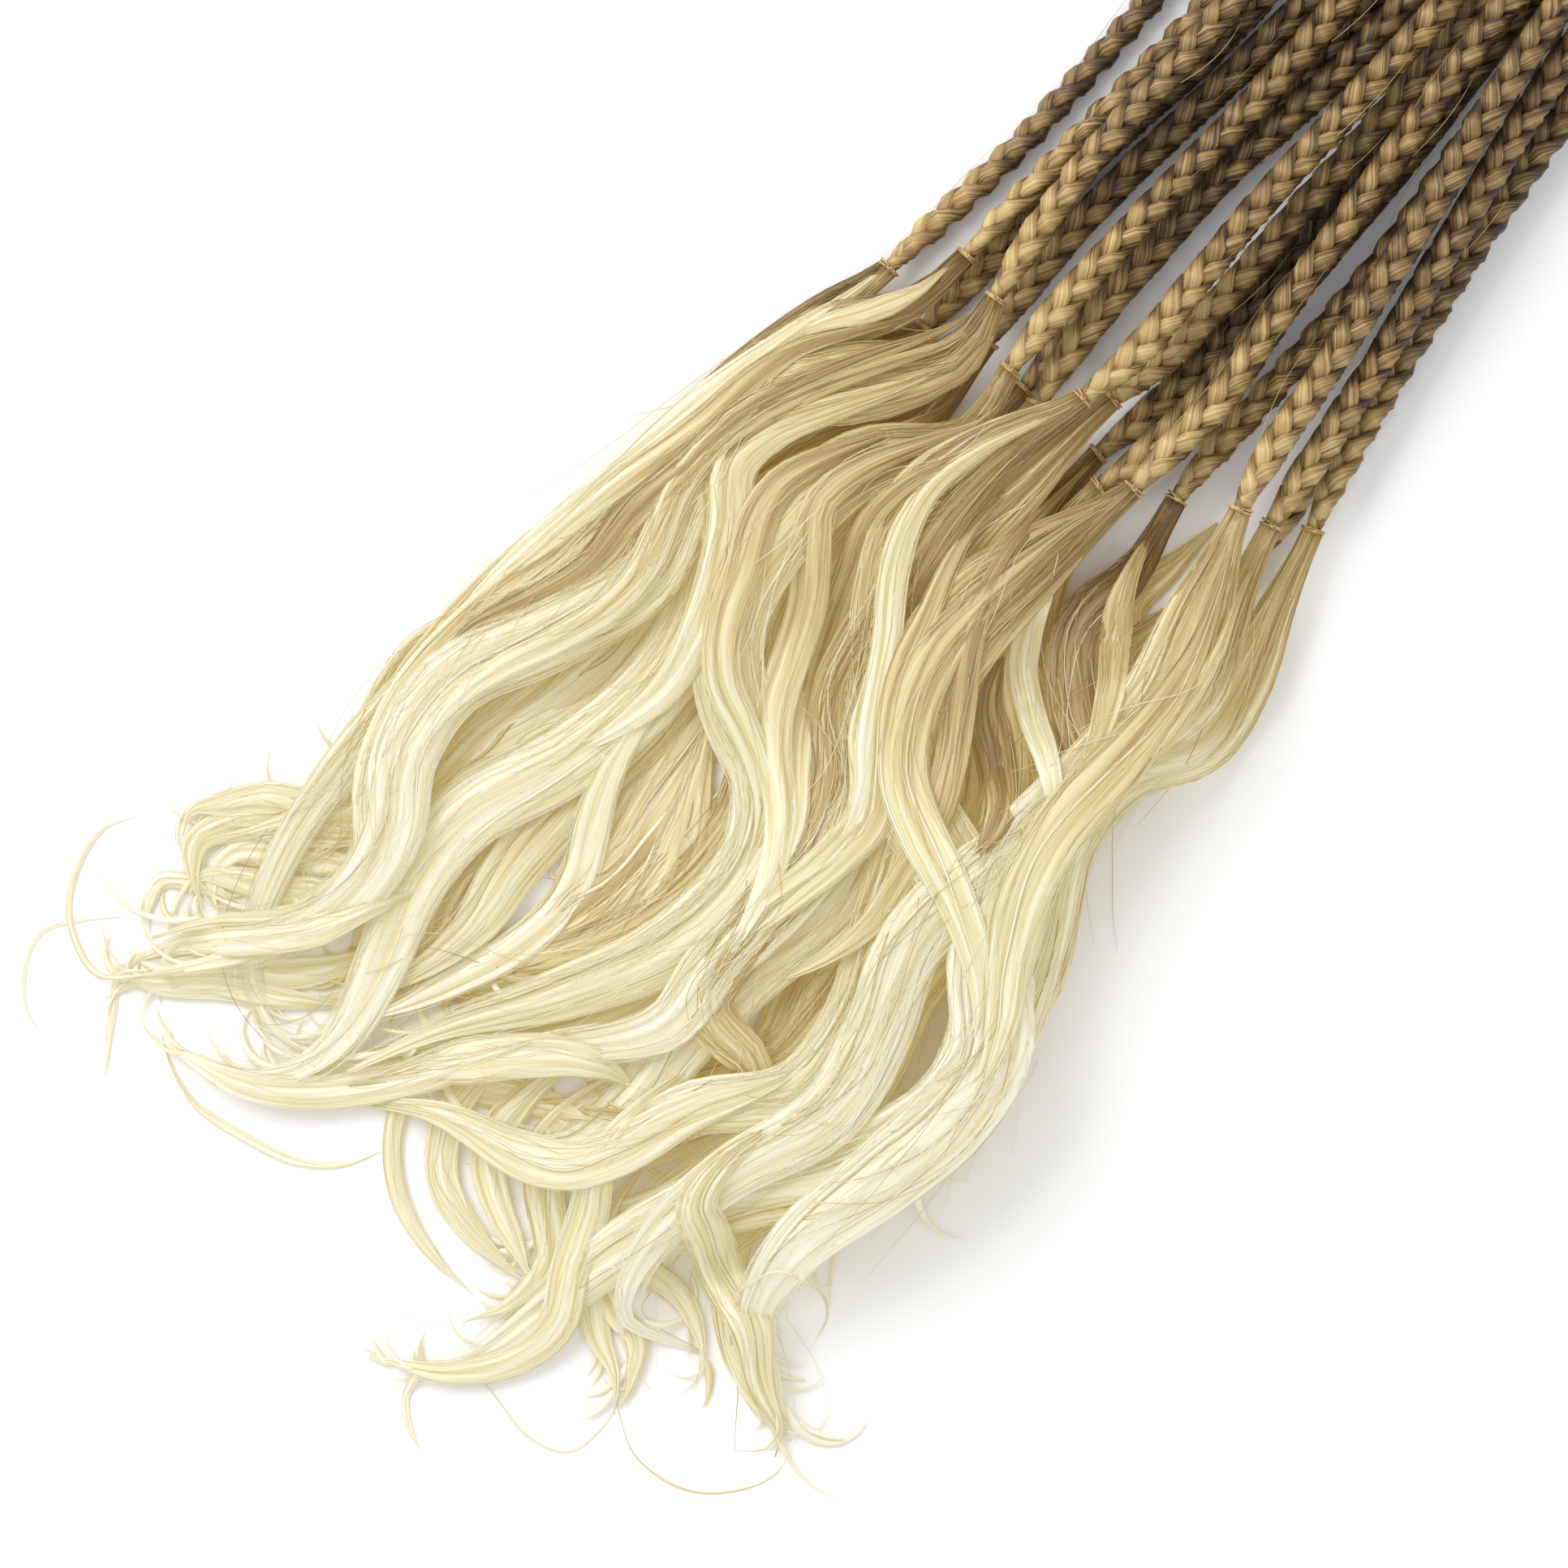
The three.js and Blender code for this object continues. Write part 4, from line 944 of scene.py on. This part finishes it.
def smallLockGroups(lock, topTree):
    shape, width = smallShape, lock["width"]
    steps = shape["steps"]
    plan = evenly(throughPoints(onTable(lock["route"])), steps)
    half = width * mm / 2
    deep = min(shape["thick"], half * shape["thickShare"])
    u = np.linspace(0, 1, steps)
    heights = np.full(steps, deep + dice.uniform(*shape["onTable"]) * mm)
    if not lock.get("under"):
        tops = np.array([max(castDown(topTree, x, y), default=0) for x, y in plan])
        padded = np.pad(tops, 2, mode="edge")
        highest = np.max([padded[i:i + steps] for i in range(5)], axis=0)
        rootSinks, tipSinks = shape["sinks"]
        sunk = mix(*shape["sunk"], ease(u, 0, rootSinks) * ease(1 - u, 0, tipSinks))
        heights = np.maximum(smoothed(highest, 8) + deep * sunk, deep)
        quarter = steps // 4
        if lock.get("startUnder"):
            heights[:quarter] = np.minimum(heights[:quarter], heights[quarter])
        if lock.get("endUnder"):
            heights[-quarter:] = np.minimum(heights[-quarter:], heights[-quarter])
    halfWide = half * np.interp(u, [0, 0.14, 0.38, 0.65, 0.86, 1], [0.05, 0.35, 1, 0.92, 0.55, 0.1])
    halfThick = deep * np.interp(u, [0, 0.2, 0.7, 1], [0.3, 1, 0.9, 0.4])
    tone = mix(lock["tone"], lock.get("tipTone", lock["tone"]), u) + shape["toneRise"] * (u - 0.5)
    broad = width > shape["broadFrom"]
    sides = shape["broadSides"] if broad else shape["sides"]
    wisps = int(np.clip(width * shape["wisps"], 1, 3))
    hairs = int(np.clip(width * shape["hairs"], 2, 16))
    groups = lockGroups(np.column_stack([plan, heights]), halfWide, halfThick, tone, sides, wisps, hairs)
    if broad and heights[-1] < curlShape["below"]:
        groups.append(tipCurls(plan, heights, tone[-1], curlShape["smallCount"], curlShape["smallSize"]))
    return groups


# Thin curls that fan out of a lock's tip, bending the way that the lock does
def tipCurls(plan, heights, tone, count, size):
    shape = curlShape
    s = lengthsAlong(plan)
    t = np.linspace(0, 1, shape["steps"])
    forward = unit(np.gradient(plan, axis=0))
    late = int(len(plan) * 0.7)
    way = math.copysign(1, forward[late][0] * forward[-1][1] - forward[late][1] * forward[-1][0])
    paths = []
    for _ in range(count):
        at = s[-1] * dice.uniform(*shape["starts"])
        start = atLengths(plan, [at])[0]
        ahead = atLengths(plan, [min(at + 3 * mm, s[-1])])[0] - start
        heading = math.atan2(ahead[1], ahead[0]) + dice.normal(0, 0.2)
        turn = heading + way * dice.uniform(*shape["turns"]) * t**1.15
        reach = dice.uniform(*shape["reach"]) * mm * size
        spots = start + np.cumsum(np.stack([np.cos(turn), np.sin(turn)], 1), 0) * reach / len(t)
        sideways = np.array([-ahead[1], ahead[0]]) / np.linalg.norm(ahead)
        spots += sideways * dice.uniform(*shape["aside"]) * mm * size
        rise = mix(np.interp(at, s, heights), dice.uniform(*shape["rise"]) * mm, ease(t, 0, 0.6))
        paths.append(np.column_stack([spots, rise]))
    paths = np.array(paths)
    taper = np.interp(t, [0, 0.15, 0.6, 1], [0.3, 1, 0.8, 0.1])
    wide = dice.uniform(*shape["halfWide"], (count, 1)) * mm * taper
    deep = dice.uniform(*shape["halfThick"], (count, 1)) * mm * taper**0.4
    _, side, up = framesOf(paths)
    tones = np.clip(tone + dice.normal(0, 0.06, (count, 1)), 0.5, 1) * np.ones(len(t))
    return ringsOf(paths, side, up, wide, deep, shape["sides"]), tones, dice.uniform(0, 1, count)


# Long single hairs that stray from a lock and cross its neighbours
def strayHairs(plan, topTree):
    shape = strayShape
    count, steps = shape["count"], shape["steps"]
    full = lengthsAlong(plan)[-1]
    paths = []
    for _ in range(count):
        start, reach = dice.uniform(*shape["starts"]) * full, dice.uniform(*shape["reach"]) * mm
        s = np.clip(start + np.linspace(0, reach, steps), 0, full)
        base = atLengths(plan, s)
        along = unit(np.gradient(base, axis=0))
        sideways = np.stack([-along[:, 1], along[:, 0]], 1)
        t = np.linspace(0, 1, steps)
        drift = dice.uniform(*shape["aside"]) * mm + dice.uniform(*shape["drift"]) * mm * t**1.5 \
            + shape["wave"] * np.sin(t * dice.uniform(2, 6) + dice.uniform(0, 6))
        spots = base + sideways * drift[:, None]
        tops = smoothed([max(castDown(topTree, x, y), default=0) for x, y in spots], 5)
        rise = tops + (shape["rise"] + dice.uniform(0, shape["arch"]) * np.sin(math.pi * t)) * mm
        paths.append(np.column_stack([spots, rise]))
    tones = shape["tone"] + dice.normal(0, shape["toneSpread"], (count, 1)) * np.ones(steps)
    return thinHairs(np.array(paths), np.clip(tones, 0.1, 1), shape["radius"])


def tailPiece(name, line, topTree):
    tree = treeOf(["tail_" + name])
    tie = boxMiddle("tie_" + name)
    back = atLengths(line, [10 * mm])[0]
    groups = []
    for lock in tailLocks[name]:
        plan = throughPoints([back[:2], tie[:2], *onTable(lock["route"])], first=1)
        plan = evenly(plan, lockShape["steps"])
        heights = heightsOn(tree, plan, tie[2], lockShape["neckLength"])
        # Tips of tails that lie under others get a lower tone here as painted shade
        tipTone = lock.get("tip", paintedTailTipShade.get(name, lockShape["tipTone"]))
        groups += mainLockGroups(lock, plan, heights, tipTone)
        groups.append(tipCurls(plan, heights, tipTone, curlShape["count"], curlShape["size"]))
        groups.append(strayHairs(plan, topTree))
    for lock in smallLocks.get(name, []):
        groups += smallLockGroups(lock, topTree)
    piece = woven("loose_hair_" + name, groups, looseHair)
    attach(piece, "root")
    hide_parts("tail_" + name)
    return piece


# Thread tie: two turns of thread and a small knot on top
tieShape = {"wide": 1.86 * mm, "high": 1.6 * mm, "thread": 0.19 * mm, "apart": 0.36 * mm, "knot": 0.36 * mm}


def threadRing(radius, segments, sides, place, rotation):
    bpy.ops.object.select_all(action="DESELECT")
    bpy.ops.mesh.primitive_torus_add(
        major_radius=radius, minor_radius=tieShape["thread"], major_segments=segments, minor_segments=sides,
        location=place, rotation=rotation)
    return bpy.context.object


def tiePiece(name, line):
    shape = tieShape
    middle = boxMiddle("tie_" + name)
    ahead = atLengths(line, [3 * mm])[0] - middle
    heading = math.atan2(ahead[1], ahead[0])
    rings = []
    for turn in (-1, 1):
        slant = heading + dice.uniform(-0.16, 0.16)
        offset = Vector((math.cos(heading), math.sin(heading), 0)) * shape["apart"] * turn / 2
        rings.append(threadRing(shape["wide"], 28, 8, Vector(middle) + offset, (0, math.pi / 2, slant)))
        bpy.ops.transform.resize(value=(shape["high"] / shape["wide"], 1, 1), orient_type="LOCAL")
    top = Vector(middle) + Vector((0, 0, shape["high"] + shape["thread"]))
    for turn in (-1, 1):
        rings.append(threadRing(shape["knot"], 14, 6, top, (turn * 0.9, 0.5, heading + turn * 0.7)))
    bpy.ops.object.select_all(action="DESELECT")
    for ring in rings:
        ring.select_set(True)
    bpy.context.view_layer.objects.active = rings[0]
    bpy.ops.object.join()
    bpy.ops.object.transform_apply(location=True, rotation=True, scale=True)
    bpy.ops.object.shade_smooth()
    piece = bpy.context.object
    piece.name = piece.data.name = "thread_tie_" + name
    piece.data.materials.append(threadHair)
    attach(piece, "root")
    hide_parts("tie_" + name)
    return piece


names = [f"{i:02d}" for i in range(1, 19)]
lines = {name: braidLine(name) for name in names}
print("braid lines read from the frame")
pieces = [braidPiece(name, lines[name]) for name in names]
print("braids made")
wholeTop = treeOf([kind + name for kind in ("tail_", "braid_") for name in names])
pieces += [tailPiece(name, lines[name], wholeTop) for name in names]
print("loose hair made")
pieces += [tiePiece(name, lines[name]) for name in names]
print("ties made")
print("triangles", sum(len(face.vertices) - 2 for piece in pieces for face in piece.data.polygons))

# Table, light and camera
studio = {
    "floor": 4.0, "floorColour": (0.92, 0.92, 0.925, 1), "floorRoughness": 0.6, "world": 0.94,
    "lamp": 7.6, "lampSize": 0.75, "lampDistance": 0.75, "lampWay": (0.087, 0.996, 0), "lampRise": 1.1,
    "cameraHeight": 1.6, "sensor": 36,
}


def plainMaterial(name, colour, roughness):
    material = bpy.data.materials.new(name)
    material.use_nodes = True
    shader = material.node_tree.nodes["Principled BSDF"]
    shader.inputs["Base Color"].default_value = colour
    shader.inputs["Roughness"].default_value = roughness
    return material


middle = onTable([(photo["size"] / 2, photo["size"] / 2)])[0]
bpy.ops.object.select_all(action="DESELECT")
bpy.ops.mesh.primitive_plane_add(size=studio["floor"], location=(*middle, 0))
table = bpy.context.object
table.name = "table"
table.data.materials.append(plainMaterial("white_table", studio["floorColour"], studio["floorRoughness"]))

world = bpy.data.worlds.new("studio")
bpy.context.scene.world = world
world.use_nodes = True
background = world.node_tree.nodes["Background"]
background.inputs["Color"].default_value = (1, 1, 1, 1)
background.inputs["Strength"].default_value = studio["world"]

lampHeight = studio["lampDistance"] * studio["lampRise"]
towardsLamp = Vector(studio["lampWay"]) * studio["lampDistance"] + Vector((0, 0, lampHeight))
bpy.ops.object.light_add(type="AREA", location=Vector((*middle, 0)) + towardsLamp)
lamp = bpy.context.object
lamp.data.size = studio["lampSize"]
lamp.data.energy = studio["lamp"]
lamp.rotation_euler = towardsLamp.to_track_quat("Z", "Y").to_euler()

viewWidth = photo["size"] * photo["pixel"]
bpy.ops.object.camera_add(location=(*middle, studio["cameraHeight"]), rotation=(0, 0, -photo["turn"]))
camera = bpy.context.object
camera.data.sensor_width = studio["sensor"]
camera.data.lens = studio["sensor"] * studio["cameraHeight"] / viewWidth
bpy.context.scene.camera = camera
bpy.context.scene.view_settings.view_transform = "Standard"
print("studio ready")
